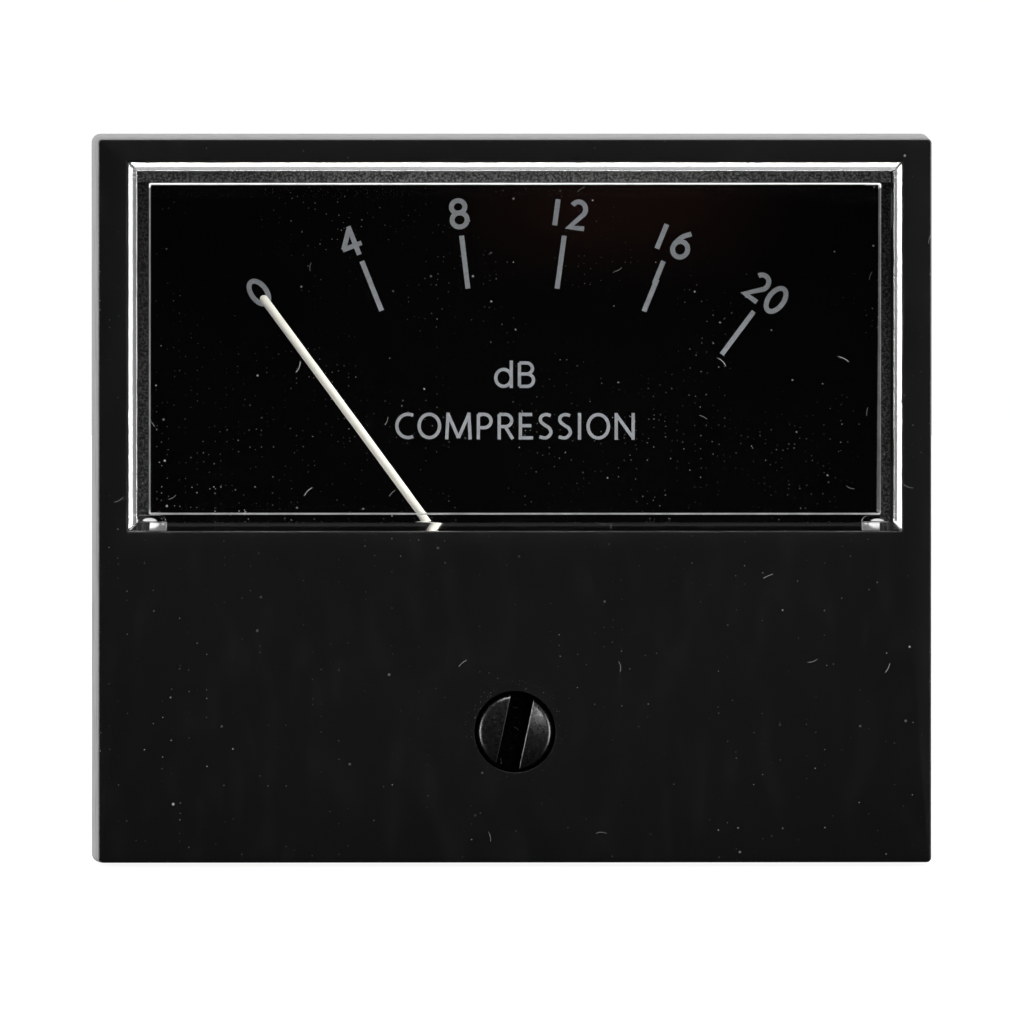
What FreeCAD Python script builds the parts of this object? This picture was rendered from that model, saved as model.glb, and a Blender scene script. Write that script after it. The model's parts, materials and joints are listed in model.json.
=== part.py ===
import FreeCAD, Part

import math
import os

from FreeCAD import Vector

# Moving-coil panel meter of a rack compressor, drawn as an assembly of separate pieces.
# Units are millimetres. The frame's origin is where the barrel's axis meets the face of the
# panel that the meter is mounted in: +X to the right seen from the front, +Y back into the
# panel, +Z up. The front of the meter looks along -Y.

# ---------------------------------------------------------------- driving dimensions: case

FACE_W = 42.5            # front face, between its two sides
FACE_H = 36.9            # front face, top to bottom
COVER_DEPTH = 9.0        # how far the cover's face stands in front of the panel
COVER_DRAFT = math.tan(math.radians(1.5))    # the cover's sides widen towards the panel
FACE_THICK = 1.4
COVER_WALL = 1.15
COVER_CORNER_R = 0.45
COVER_EDGE_R = 0.12

WINDOW_HALF_W = 19.75    # opening in the cover
WINDOW_LOW = -1.57
WINDOW_HIGH = 17.29
WINDOW_CHAMFER = 0.06

LENS_GAP = 0.05          # between the lens and the opening
LENS_PROUD = 1.2         # how far the lens stands in front of the cover's face
LENS_THICK = 1.1
LENS_WALL = 1.05
LENS_SILL = 0.82         # lower wall
LENS_BEVEL = 0.5
LENS_CORNER_R = 0.3
LENS_DRAFT = math.tan(math.radians(0.3))
LENS_LIP = 0.45          # thickness of the cemented lip behind the cover's face
LENS_FOOT = 1.45         # width of the two feet that reach back to the scale, low at the sides
LENS_FOOT_R = 0.34
LENS_FOOT_LOW = 0.06     # the feet stay this far inside the lower wall's two faces
LENS_SIDE_WALL = 0.6     # what is left of the side walls below the hollow

BARREL_R = 17.0
BARREL_WALL = 1.3
BARREL_LENGTH = 19.0
BARREL_FLOOR = 2.0
FLANGE_THICK = 2.0
FLANGE_GAP = 0.12        # between the rear case's flange and the cover around it

STUD_R = 1.25            # M2.5 panel studs
STUD_X = 17.6
STUD_Z = 14.8
STUD_LENGTH = 10.0
STUD_COLLAR_R = 1.6

COVER_SCREW_X = 18.2
COVER_SCREW_Z = -9.2
COVER_SCREW_R = 0.8
COVER_SCREW_SINK = 0.75  # the countersunk head widens and deepens by this
COVER_SCREW_DEEP = 5.4   # length of the full thread from the flange's rear face
COVER_BOSS_R = 1.6
RECESS_LONG = 0.85       # half length, half width and depth of the cross recess
RECESS_WIDE = 0.2
RECESS_DEEP = 0.45

LUG_X = 9.0              # two lugs that hook the cover over the flange's top edge
LUG_W = 3.6
LUG_DROP = 0.7
LUG_THICK = 0.9

# ---------------------------------------------------------------- driving dimensions: terminals

TERMINAL_X = 9.0
TERMINAL_Z = 7.0
TERMINAL_R = 1.5         # M3
TERMINAL_END = 27.0
TERMINAL_HEAD_FLATS = 5.0
TERMINAL_HEAD = 1.4
INNER_TAG_THICK = 0.4
INNER_TAG_R = 2.6
UNDERCUT_DEPTH = 0.25    # groove that parts the nut's thread from the wire's
UNDERCUT_WIDTH = 0.8
PAD_R = 3.4
PAD_THICK = 0.8
WASHER_THICK = 0.4
WASHER_R = 3.0
TAG_THICK = 0.5
TAG_RING_R = 2.9
TAG_RISE = 3.45          # from the stud's axis up to the tongue
TAG_REACH = 6.2          # how far back the tongue runs
TAG_W = 2.6
TAG_HOLE_R = 0.7
NUT_FLATS = 5.5
NUT_THICK = 2.4

# ---------------------------------------------------------------- driving dimensions: scale

PIVOT_Z = -7.15          # height of the pivot's axis
SWEEP = 72.4             # degrees from the scale's 0 to its 20
REST_ANGLE = -SWEEP / 2  # the pointer rests on 0, left of upright
SCALE_FRONT = -5.5
SCALE_THICK = 0.5
SCALE_HALF_W = 19.2
SCALE_TOP = 17.0
SCALE_LOW = -3.0         # lower edge across the middle
SCALE_EAR_LOW = -6.0
SCALE_EAR_X = 15.6       # the ears run from here to the plate's sides
SCALE_SCREW_X = 17.5
SCALE_SCREW_Z = -4.4
SCALE_SCREW_R = 0.7
SCALE_BOSS_R = 1.5

# ---------------------------------------------------------------- driving dimensions: movement

CORE_R = 4.4
GAP_R = 6.4              # bore of the yoke ring
YOKE_R = 8.0
FRAME_R = 8.4
CORE_FRONT = 0.2
CORE_BACK = 7.2
SPIDER_SPAN = 50.0       # degrees of the gap that each block of the core holder fills
BRIDGE_X = 9.6           # the two long screws that hold the movement together
BRIDGE_HALF_L = 11.2
BRIDGE_HALF_H = 1.6
BRIDGE_THICK = 0.9
BRIDGE_FRONT = -5.6
BRIDGE_BACK = 12.8       # rear face of the rear bridge
LONG_SCREW_R = 0.8
LONG_SCREW_END = 15.6
LONG_SCREW_HEAD_R = 1.4
LONG_SCREW_HEAD = 0.8
POST_R = 1.9             # rear case posts that the long screws run into

COIL_HALF_W = 4.75       # inside of the coil former
COIL_FRONT = -0.35
COIL_BACK = 7.75
FORMER_WALL = 0.25
WINDING = 0.9
COIL_HALF_H = 1.3

SHAFT_R = 0.3
PIVOT_BASE_R = 1.0
HUB_THICK = 0.7
COLLET_R = 0.85
COLLET_L = 0.5
COLLET_SETBACK = 0.42    # from a pivot's base to its collet
SPRING_OUTER_R = 2.5
SPRING_TURNS = 4.25
SPRING_W = 0.3
SPRING_THICK = 0.07
CONE_L = 0.53            # length of a pivot's tip
END_SHAKE = 0.02

JEWEL_SCREW_R = 1.0
JEWEL_SCREW_L = 3.15
JEWEL_R = 0.5
JEWEL_L = 0.8
CUP_R = 0.4
CUP_DEPTH = 0.4
LOCK_NUT_FLATS = 3.5
LOCK_NUT_THICK = 0.55

LEVER_THICK = 0.3
LEVER_RING_R = 1.9
LEVER_BORE_R = 1.05
LEVER_WASHER = 0.15
TAB_ANGLE = 130.0        # where the spring tabs stand, clockwise from upright
TAB_R = SPRING_OUTER_R + SPRING_THICK / 2

ADJUSTER_Z = -11.79
ADJUSTER_HEAD_R = 1.97
ADJUSTER_HOLE_R = 2.07
ADJUSTER_HEAD_DEPTH = 1.6
ADJUSTER_DOME = 0.3
ADJUSTER_SLOT_W = 1.2
ADJUSTER_SLOT_DEPTH = 0.95
ADJUSTER_SLOT_ANGLE = 12.0   # degrees the slot leans right of upright at rest
ADJUSTER_SHANK_R = 1.3
ADJUSTER_BOSS_R = 3.0
ADJUSTER_BOSS_END = -6.2
ECCENTRIC = 0.5
ECCENTRIC_PIN_R = 0.45
FORK_SLACK = 0.03

POINTER_R = 0.21
POINTER_TIP = 21.8       # radius of the pointer's tip about the pivot
POINTER_Y = -6.5
CRANK_INNER = 2.95       # the pointer bends forward between these two radii
CRANK_OUTER = 3.55
BALANCE_ARM_R = 4.2
BALANCE_WEIGHT_R = 0.5
STOP_RADIUS = 6.3
STOP_MARGIN = 5.0        # degrees from an end mark to the pointer's stop
STOP_WIRE_R = 0.25
STOP_SLEEVE_R = 0.45

WIRE_R = 0.4

# ---------------------------------------------------------------- derived places

FACE_Y = -COVER_DEPTH
FACE_BACK = FACE_Y + FACE_THICK
LENS_FRONT = FACE_Y - LENS_PROUD
LENS_INSIDE = LENS_FRONT + LENS_THICK
LENS_BACK = SCALE_FRONT - 0.2
BARREL_FLOOR_Y = BARREL_LENGTH - BARREL_FLOOR
PAD_Y = BARREL_LENGTH + PAD_THICK
BRIDGE_UNDER = BRIDGE_FRONT + BRIDGE_THICK
COIL_FACE = COIL_FRONT - FORMER_WALL - WINDING       # front of the winding
COIL_TAIL = COIL_BACK + FORMER_WALL + WINDING        # back of the winding
HUB_FRONT = COIL_FACE - HUB_THICK
FRONT_TIP = HUB_FRONT - 1.4 - CONE_L
REAR_BASE = COIL_TAIL + 0.4
REAR_TIP = REAR_BASE + 1.4 + CONE_L
FORK_Z = ADJUSTER_Z + ECCENTRIC                      # height of the eccentric pin at rest
LEVER_FRONT = BRIDGE_UNDER + LEVER_WASHER
ABUTMENT_BACK = BRIDGE_BACK - BRIDGE_THICK - LEVER_WASHER

AXIS_Y = Vector(0, 1, 0)


# ---------------------------------------------------------------- shape helpers

def box(x0, x1, y0, y1, z0, z1):
    return Part.makeBox(x1 - x0, y1 - y0, z1 - z0, Vector(x0, y0, z0))


def rod(radius, y0, y1, x=0.0, z=0.0):
    return Part.makeCylinder(radius, y1 - y0, Vector(x, y0, z), AXIS_Y)


def cone(r0, r1, y0, y1, x=0.0, z=0.0):
    return Part.makeCone(r0, r1, y1 - y0, Vector(x, y0, z), AXIS_Y)


def ring(r_out, r_in, y0, y1, x=0.0, z=0.0):
    return rod(r_out, y0, y1, x, z).cut(rod(r_in, y0 - 1, y1 + 1, x, z))


def hexagon(flats, y0, y1, x=0.0, z=0.0):
    corner = flats / math.sqrt(3)
    points = []
    for i in range(7):
        a = math.radians(60 * i + 30)
        points.append(Vector(x + corner * math.sin(a), y0, z + corner * math.cos(a)))
    return Part.Face(Part.makePolygon(points)).extrude(Vector(0, y1 - y0, 0))


def hex_nut(flats, bore_r, y0, y1, x=0.0, z=0.0):
    """A nut whose corners are turned off on both faces."""
    thick = y1 - y0
    corner = flats / math.sqrt(3)
    turned = cone(flats / 2, flats / 2 + thick, y0, y0 + thick, x, z)
    turned = turned.common(cone(flats / 2 + thick, flats / 2, y1 - thick, y1, x, z))
    body = hexagon(flats, y0, y1, x, z).common(turned).common(rod(corner, y0, y1, x, z))
    return body.cut(rod(bore_r, y0 - 1, y1 + 1, x, z))


def rect_wire(half_w, low, high, radius, y):
    """A closed rounded rectangle in the plane at y, centred on x = 0."""
    outline = []
    corners = [(half_w, low), (half_w, high), (-half_w, high), (-half_w, low)]
    inward = [(-1, 1), (-1, -1), (1, -1), (1, 1)]
    ends = []
    for i, ((x, z), (dx, dz)) in enumerate(zip(corners, inward)):
        along_z = Vector(x, y, z + dz * radius)
        along_x = Vector(x + dx * radius, y, z)
        cut = radius * (1 - math.sqrt(0.5))
        middle = Vector(x + dx * cut, y, z + dz * cut)
        first, last = (along_x, along_z) if i % 2 == 0 else (along_z, along_x)
        ends.append((first, middle, last))
    for i, (first, middle, last) in enumerate(ends):
        outline.append(Part.Arc(first, middle, last).toShape())
        outline.append(Part.makeLine(last, ends[(i + 1) % 4][0]))
    return Part.Wire(outline)


def rect_block(half_w, low, high, radius, y0, y1):
    return Part.Face(rect_wire(half_w, low, high, radius, y0)).extrude(Vector(0, y1 - y0, 0))


def tapered_block(half_w, low, high, radius, y0, y1, growth):
    """A block that widens by growth on every side between y0 and y1."""
    first = rect_wire(half_w, low, high, radius, y0)
    last = rect_wire(half_w + growth, low - growth, high + growth, radius, y1)
    return Part.makeLoft([first, last], True, True)


def edges_at(shape, y):
    """The edges that lie wholly in the plane at y."""
    return [e for e in shape.Edges if all(abs(v.Point.y - y) < 1e-6 for v in e.Vertexes)]


def both_sides(make):
    """One compound of make(+1) and make(-1), for a pair either side of x = 0."""
    return Part.makeCompound([make(1), make(-1)])


def around_pivot(shape, degrees):
    """A copy turned clockwise, seen from the front, about the pivot's axis."""
    turned = shape.copy()
    turned.rotate(Vector(0, 0, PIVOT_Z), AXIS_Y, degrees)
    return turned


def at_rest(shape):
    """Moving pieces are drawn with the pointer upright, then turned to the scale's 0."""
    return around_pivot(shape, REST_ANGLE)


def tube_path(points, radius):
    """A round wire along straight runs, with ball corners and a rounded end."""
    body = None
    for start, end in zip(points, points[1:]):
        run = Part.makeCylinder(radius, (end - start).Length, start, end - start)
        run = run.fuse(Part.makeSphere(radius, end))
        body = run if body is None else body.fuse(run)
    return body.removeSplitter()


def slot_cut(radius, width, y0, y1, x, z):
    return box(x - radius, x + radius, y0, y1, z - width / 2, z + width / 2)


# ---------------------------------------------------------------- case

def front_cover():
    """Moulded black cover: drafted sides, window opening, adjuster boss, screw bosses, lugs."""
    half_w, half_h = FACE_W / 2, FACE_H / 2
    grow = COVER_DEPTH * COVER_DRAFT
    outer = tapered_block(half_w, -half_h, half_h, COVER_CORNER_R, FACE_Y, 0, grow)
    outer = outer.makeFillet(COVER_EDGE_R, edges_at(outer, FACE_Y))
    inner_w = half_w - COVER_WALL + FACE_THICK * COVER_DRAFT
    inner_h = half_h - COVER_WALL + FACE_THICK * COVER_DRAFT
    inner_grow = grow - FACE_THICK * COVER_DRAFT
    hollow = tapered_block(inner_w, -inner_h, inner_h, COVER_CORNER_R, FACE_BACK, 0, inner_grow)
    body = outer.cut(hollow)

    opening = box(-WINDOW_HALF_W, WINDOW_HALF_W, FACE_Y - 1, FACE_BACK + 1, WINDOW_LOW, WINDOW_HIGH)
    bevel = tapered_block(WINDOW_HALF_W + WINDOW_CHAMFER, WINDOW_LOW - WINDOW_CHAMFER,
                          WINDOW_HIGH + WINDOW_CHAMFER, 0.02, FACE_Y, FACE_Y + WINDOW_CHAMFER,
                          -WINDOW_CHAMFER + 0.001)
    body = body.cut(opening).cut(bevel)

    body = body.fuse(rod(ADJUSTER_BOSS_R, FACE_BACK, ADJUSTER_BOSS_END, 0, ADJUSTER_Z))
    seat = FACE_Y + ADJUSTER_HEAD_DEPTH
    body = body.cut(rod(ADJUSTER_HOLE_R, FACE_Y - 1, seat, 0, ADJUSTER_Z))
    body = body.cut(rod(ADJUSTER_SHANK_R + 0.05, FACE_Y - 1, 0, 0, ADJUSTER_Z))

    for side in (1, -1):
        x = side * COVER_SCREW_X
        boss = rod(COVER_BOSS_R, FACE_BACK, -FLANGE_THICK, x, COVER_SCREW_Z)
        web = box(min(x, side * (half_w - 0.6)), max(x, side * (half_w - 0.6)),
                  FACE_BACK, -FLANGE_THICK, COVER_SCREW_Z - 0.5, COVER_SCREW_Z + 0.5)
        body = body.fuse(boss).fuse(web)
        body = body.cut(rod(COVER_SCREW_R, -COVER_SCREW_DEEP - 0.6, 1, x, COVER_SCREW_Z))
        top = inner_h + inner_grow
        lug = box(side * LUG_X - LUG_W / 2, side * LUG_X + LUG_W / 2,
                  -LUG_THICK, 0, top - LUG_DROP, top + 0.3)
        body = body.fuse(lug)
    return body.removeSplitter()


def window_lens():
    """Clear moulded window: raised bevelled front, drafted inside, lip, and two lower feet."""
    half_w = WINDOW_HALF_W - LENS_GAP
    low, high = WINDOW_LOW + LENS_GAP, WINDOW_HIGH - LENS_GAP
    shoulder = LENS_FRONT + LENS_BEVEL
    body = rect_block(half_w, low, high, LENS_CORNER_R, shoulder, LENS_BACK)
    nose = tapered_block(half_w - LENS_BEVEL, low + LENS_BEVEL, high - LENS_BEVEL, LENS_CORNER_R,
                         LENS_FRONT, shoulder, LENS_BEVEL)
    body = body.fuse(nose)
    grow = (LENS_BACK - LENS_INSIDE) * LENS_DRAFT
    hollow = tapered_block(half_w - LENS_WALL, low + LENS_SILL, high - LENS_WALL, 0.15,
                           LENS_INSIDE, LENS_BACK, grow)
    body = body.cut(hollow)

    lip_back = FACE_BACK + LENS_LIP
    clear_w = half_w - LENS_SIDE_WALL
    body = body.cut(box(-clear_w, clear_w, lip_back, LENS_BACK + 1, low - 1, low + LENS_SILL + 0.1))
    foot_in = half_w - LENS_WALL / 2 - LENS_FOOT
    foot_out = half_w - LENS_SIDE_WALL / 2
    for side in (1, -1):
        foot = rect_block((foot_out - foot_in) / 2, low + LENS_FOOT_LOW,
                          low + LENS_SILL - LENS_FOOT_LOW, LENS_FOOT_R, lip_back - 0.2, LENS_BACK)
        foot.translate(Vector(side * (foot_out + foot_in) / 2, 0, 0))
        body = body.fuse(foot)
    body = body.fuse(box(-half_w + 0.4, half_w - 0.4, FACE_BACK, lip_back, low - 1.7, low + 0.5))
    for side in (1, -1):
        x0, x1 = sorted((side * (half_w - 0.4), side * (half_w + 0.28)))
        body = body.fuse(box(x0, x1, FACE_BACK, lip_back, low + 0.3, high - 0.8))
    return body.removeSplitter()


def rear_case():
    """Moulded rear case: flange inside the cover, barrel through the panel, bosses and posts."""
    grow = COVER_DEPTH * COVER_DRAFT
    half_w = FACE_W / 2 + grow - COVER_WALL - FLANGE_GAP
    half_h = FACE_H / 2 + grow - COVER_WALL - FLANGE_GAP
    flange = rect_block(half_w, -half_h, half_h, 0.6, -FLANGE_THICK, 0)
    barrel = rod(BARREL_R, -FLANGE_THICK / 2, BARREL_LENGTH)
    barrel = barrel.makeFillet(0.6, edges_at(barrel, BARREL_LENGTH))
    body = flange.fuse(barrel)
    body = body.cut(rod(BARREL_R - BARREL_WALL, -FLANGE_THICK - 1, BARREL_FLOOR_Y))

    for side in (1, -1):
        body = body.fuse(rod(SCALE_BOSS_R, SCALE_FRONT + SCALE_THICK, -FLANGE_THICK,
                             side * SCALE_SCREW_X, SCALE_SCREW_Z))
        body = body.fuse(rod(POST_R, BRIDGE_BACK, BARREL_FLOOR_Y, side * BRIDGE_X, PIVOT_Z))
        body = body.fuse(rod(PAD_R, BARREL_LENGTH, PAD_Y, side * TERMINAL_X, TERMINAL_Z))
    body = body.fuse(polarity_mark())

    for side in (1, -1):
        body = body.cut(rod(SCALE_SCREW_R, SCALE_FRONT, -0.6, side * SCALE_SCREW_X, SCALE_SCREW_Z))
        body = body.cut(rod(LONG_SCREW_R, BRIDGE_BACK - 1, LONG_SCREW_END + 0.4,
                            side * BRIDGE_X, PIVOT_Z))
        body = body.cut(rod(TERMINAL_R, BARREL_FLOOR_Y - 1, PAD_Y + 1,
                            side * TERMINAL_X, TERMINAL_Z))
        body = body.cut(rod(COVER_SCREW_R + 0.1, -FLANGE_THICK - 1, 1,
                            side * COVER_SCREW_X, COVER_SCREW_Z))
        body = body.cut(cone(COVER_SCREW_R, COVER_SCREW_R + COVER_SCREW_SINK,
                             -COVER_SCREW_SINK, 0, side * COVER_SCREW_X, COVER_SCREW_Z))
        notch_low = half_h + FLANGE_GAP - LUG_DROP - 0.1
        body = body.cut(box(side * LUG_X - LUG_W / 2 - 0.1, side * LUG_X + LUG_W / 2 + 0.1,
                            -LUG_THICK - 0.1, 1, notch_low, half_h + 1))
        for up in (1, -1):
            body = body.cut(rod(STUD_COLLAR_R, -FLANGE_THICK - 1, 1, side * STUD_X, up * STUD_Z))
    return body.removeSplitter()


def polarity_mark():
    """A raised plus beside the positive terminal."""
    x, z, arm, width, height = TERMINAL_X, TERMINAL_Z - 5.2, 1.1, 0.5, 0.3
    y0, y1 = BARREL_LENGTH - 0.1, BARREL_LENGTH + height
    across = box(x - arm, x + arm, y0, y1, z - width / 2, z + width / 2)
    return across.fuse(box(x - width / 2, x + width / 2, y0, y1, z - arm, z + arm))


def cover_screws():
    """Two countersunk self-tapping screws, flange to cover."""
    def screw(side):
        x, z = side * COVER_SCREW_X, COVER_SCREW_Z
        body = rod(COVER_SCREW_R, -COVER_SCREW_DEEP, 0.05 - COVER_SCREW_SINK, x, z)
        body = body.fuse(cone(COVER_SCREW_R, COVER_SCREW_R + COVER_SCREW_SINK,
                              -COVER_SCREW_SINK, 0, x, z))
        body = body.fuse(cone(0.2, COVER_SCREW_R, -COVER_SCREW_DEEP - 0.5, -COVER_SCREW_DEEP, x, z))
        for half_x, half_z in ((RECESS_LONG, RECESS_WIDE), (RECESS_WIDE, RECESS_LONG)):
            body = body.cut(box(x - half_x, x + half_x, -RECESS_DEEP, 1, z - half_z, z + half_z))
        return body.removeSplitter()
    return both_sides(screw)


def panel_studs():
    """Four M2.5 studs pressed into the flange, for the nuts behind the panel."""
    studs = []
    for x in (STUD_X, -STUD_X):
        for z in (STUD_Z, -STUD_Z):
            stud = rod(STUD_R, 0, STUD_LENGTH - 0.4, x, z)
            stud = stud.fuse(cone(STUD_R, STUD_R - 0.4, STUD_LENGTH - 0.4, STUD_LENGTH, x, z))
            stud = stud.fuse(rod(STUD_COLLAR_R, -FLANGE_THICK, 0, x, z))
            stud = stud.fuse(rod(STUD_COLLAR_R + 0.4, -FLANGE_THICK - 0.6, -FLANGE_THICK, x, z))
            studs.append(stud)
    return Part.makeCompound(studs)


# ---------------------------------------------------------------- terminals

def terminal_studs():
    """M3 studs with a hexagon head inside the case and a free end for the wiring."""
    def stud(side):
        x, z = side * TERMINAL_X, TERMINAL_Z
        tag_front = BARREL_FLOOR_Y - INNER_TAG_THICK
        head = hexagon(TERMINAL_HEAD_FLATS, tag_front - TERMINAL_HEAD, tag_front, x, z)
        shank = rod(TERMINAL_R, tag_front, TERMINAL_END - 0.4, x, z)
        tip = cone(TERMINAL_R, TERMINAL_R - 0.4, TERMINAL_END - 0.4, TERMINAL_END, x, z)
        nut_back = PAD_Y + WASHER_THICK + TAG_THICK + NUT_THICK
        undercut = ring(TERMINAL_R + 1, TERMINAL_R - UNDERCUT_DEPTH, nut_back,
                        nut_back + UNDERCUT_WIDTH, x, z)
        return head.fuse(shank).fuse(tip).cut(undercut)
    return both_sides(stud)


def inner_tags():
    """Brass tags under the studs' heads, where the lead wires are soldered."""
    def tag(side):
        x, z = side * TERMINAL_X, TERMINAL_Z
        y0, y1 = BARREL_FLOOR_Y - INNER_TAG_THICK, BARREL_FLOOR_Y
        tongue = box(x - 0.8, x + 0.8, y0, y1, z - 5.0, z)
        ring_part = rod(INNER_TAG_R, y0, y1, x, z)
        return ring_part.fuse(tongue).cut(rod(TERMINAL_R, y0 - 1, y1 + 1, x, z))
    return both_sides(tag)


def terminal_washers():
    return both_sides(lambda side: ring(WASHER_R, TERMINAL_R + 0.05, PAD_Y, PAD_Y + WASHER_THICK,
                                        side * TERMINAL_X, TERMINAL_Z))


def solder_tags():
    """Tinned tags: a ring on the stud and a tongue bent back, with a hole for the wire."""
    y0 = PAD_Y + WASHER_THICK
    y1 = y0 + TAG_THICK

    def tag(side):
        x, z = side * TERMINAL_X, TERMINAL_Z
        top = z + TAG_RISE + TAG_THICK
        body = rod(TAG_RING_R, y0, y1, x, z)
        body = body.fuse(box(x - TAG_W / 2, x + TAG_W / 2, y0, y1, z, top))
        tongue = box(x - TAG_W / 2, x + TAG_W / 2, y0, y1 + TAG_REACH - TAG_W / 2,
                     top - TAG_THICK, top)
        end = Part.makeCylinder(TAG_W / 2, TAG_THICK,
                                Vector(x, y1 + TAG_REACH - TAG_W / 2, top - TAG_THICK))
        hole = Part.makeCylinder(TAG_HOLE_R, 2, Vector(x, tag_hole_y(), top - 1))
        body = body.fuse(tongue).fuse(end).cut(hole)
        return body.cut(rod(TERMINAL_R + 0.05, y0 - 1, y1 + 1, x, z)).removeSplitter()
    return both_sides(tag)


def tag_hole_y():
    return PAD_Y + WASHER_THICK + TAG_THICK + TAG_REACH - TAG_W / 2


def terminal_nuts():
    y0 = PAD_Y + WASHER_THICK + TAG_THICK
    return both_sides(lambda side: hex_nut(NUT_FLATS, TERMINAL_R, y0, y0 + NUT_THICK,
                                           side * TERMINAL_X, TERMINAL_Z))


# ---------------------------------------------------------------- zero adjuster

def zero_adjuster():
    """Slotted screw in the cover: domed head, shank with a clip groove, eccentric pin."""
    z = ADJUSTER_Z
    seat = FACE_Y + ADJUSTER_HEAD_DEPTH
    rim = FACE_Y + 0.1
    head = rod(ADJUSTER_HEAD_R, rim, seat, 0, z)
    sphere_r = (ADJUSTER_HEAD_R ** 2 + ADJUSTER_DOME ** 2) / (2 * ADJUSTER_DOME)
    dome = Part.makeSphere(sphere_r, Vector(0, rim - ADJUSTER_DOME + sphere_r, z))
    head = head.fuse(dome.common(rod(ADJUSTER_HEAD_R, rim - 1, rim, 0, z)))
    slot_y = rim - ADJUSTER_DOME
    slot = box(-ADJUSTER_SLOT_W / 2, ADJUSTER_SLOT_W / 2, slot_y - 1,
               slot_y + ADJUSTER_SLOT_DEPTH, z - 3, z + 3)
    slot.rotate(Vector(0, 0, z), AXIS_Y, ADJUSTER_SLOT_ANGLE)
    head = head.cut(slot)
    shank = rod(ADJUSTER_SHANK_R, seat, ADJUSTER_BOSS_END + 0.6, 0, z)
    shank = shank.cut(ring(3, clip_bore(), ADJUSTER_BOSS_END, ADJUSTER_BOSS_END + 0.25, 0, z))
    pin = rod(ECCENTRIC_PIN_R, ADJUSTER_BOSS_END + 0.6, LEVER_FRONT + LEVER_THICK + 0.15, 0, FORK_Z)
    return head.fuse(shank).fuse(pin).removeSplitter()


def clip_bore():
    return ADJUSTER_SHANK_R - 0.25


def adjuster_clip():
    """Open spring clip in the adjuster's groove."""
    y0, y1 = ADJUSTER_BOSS_END, ADJUSTER_BOSS_END + 0.25
    body = ring(2.0, clip_bore(), y0, y1, 0, ADJUSTER_Z)
    return body.cut(box(-0.7, 0.7, y0 - 1, y1 + 1, ADJUSTER_Z - 3, ADJUSTER_Z))


def zero_lever():
    """Brass lever on the front jewel screw: a fork on the eccentric pin and a spring tab."""
    y0, y1 = LEVER_FRONT, LEVER_FRONT + LEVER_THICK
    body = rod(LEVER_RING_R, y0, y1, 0, PIVOT_Z)
    body = body.fuse(box(-0.6, 0.6, y0, y1, FORK_Z + 0.8, PIVOT_Z))
    body = body.fuse(box(-1.15, 1.15, y0, y1, FORK_Z - 0.9, FORK_Z + 0.9))
    slot_half = ECCENTRIC_PIN_R + FORK_SLACK
    body = body.cut(box(-slot_half, slot_half, y0 - 1, y1 + 1, FORK_Z - 2, FORK_Z))
    body = body.cut(rod(slot_half, y0 - 1, y1 + 1, 0, FORK_Z))
    spring_back = front_spring_y() + SPRING_W
    body = body.fuse(spring_tab(y0, y1, y0, spring_back, TAB_ANGLE))
    return body.cut(rod(LEVER_BORE_R, y0 - 1, y1 + 1, 0, PIVOT_Z)).removeSplitter()


def spring_tab(arm_y0, arm_y1, tab_y0, tab_y1, angle):
    """An arm out from the pivot and a tab along it, whose inner face meets the hairspring."""
    arm = box(-0.3, 0.3, arm_y0, arm_y1, PIVOT_Z + LEVER_BORE_R + 0.2, PIVOT_Z + TAB_R + 0.25)
    tab = box(-0.3, 0.3, tab_y0, tab_y1, PIVOT_Z + TAB_R, PIVOT_Z + TAB_R + 0.25)
    return around_pivot(arm.fuse(tab), angle)


# ---------------------------------------------------------------- movement, fixed pieces

def core_magnet():
    return rod(CORE_R, CORE_FRONT, CORE_BACK, 0, PIVOT_Z)


def yoke_ring():
    return ring(YOKE_R, GAP_R, CORE_FRONT, CORE_BACK, 0, PIVOT_Z)


def core_holder():
    """Non-magnetic spider: two blocks that fill the gap above and below, on a rear ring."""
    back = CORE_BACK + 0.7
    body = ring(YOKE_R, GAP_R, CORE_BACK, back, 0, PIVOT_Z)
    block = ring(GAP_R, CORE_R, CORE_FRONT, back, 0, PIVOT_Z)
    half = math.radians(SPIDER_SPAN / 2)
    reach = 12.0
    for up in (1, -1):
        corner = reach * math.tan(half)
        wedge = Part.Face(Part.makePolygon([
            Vector(0, 0, PIVOT_Z),
            Vector(corner, 0, PIVOT_Z + up * reach),
            Vector(-corner, 0, PIVOT_Z + up * reach),
            Vector(0, 0, PIVOT_Z)])).extrude(Vector(0, 20, 0))
        body = body.fuse(block.common(wedge))
    return body.removeSplitter()


def movement_frame():
    """Die-cast cradle around the yoke, with an ear each side for the long screws."""
    body = rod(FRAME_R, CORE_FRONT, CORE_BACK, 0, PIVOT_Z)
    body = body.fuse(box(-BRIDGE_HALF_L, BRIDGE_HALF_L, CORE_FRONT, CORE_BACK,
                         PIVOT_Z - BRIDGE_HALF_H, PIVOT_Z + BRIDGE_HALF_H))
    body = body.cut(rod(YOKE_R, CORE_FRONT - 1, CORE_BACK + 1, 0, PIVOT_Z))
    for x in (BRIDGE_X, -BRIDGE_X):
        body = body.cut(rod(LONG_SCREW_R, CORE_FRONT - 1, CORE_BACK + 1, x, PIVOT_Z))
    return body


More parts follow.
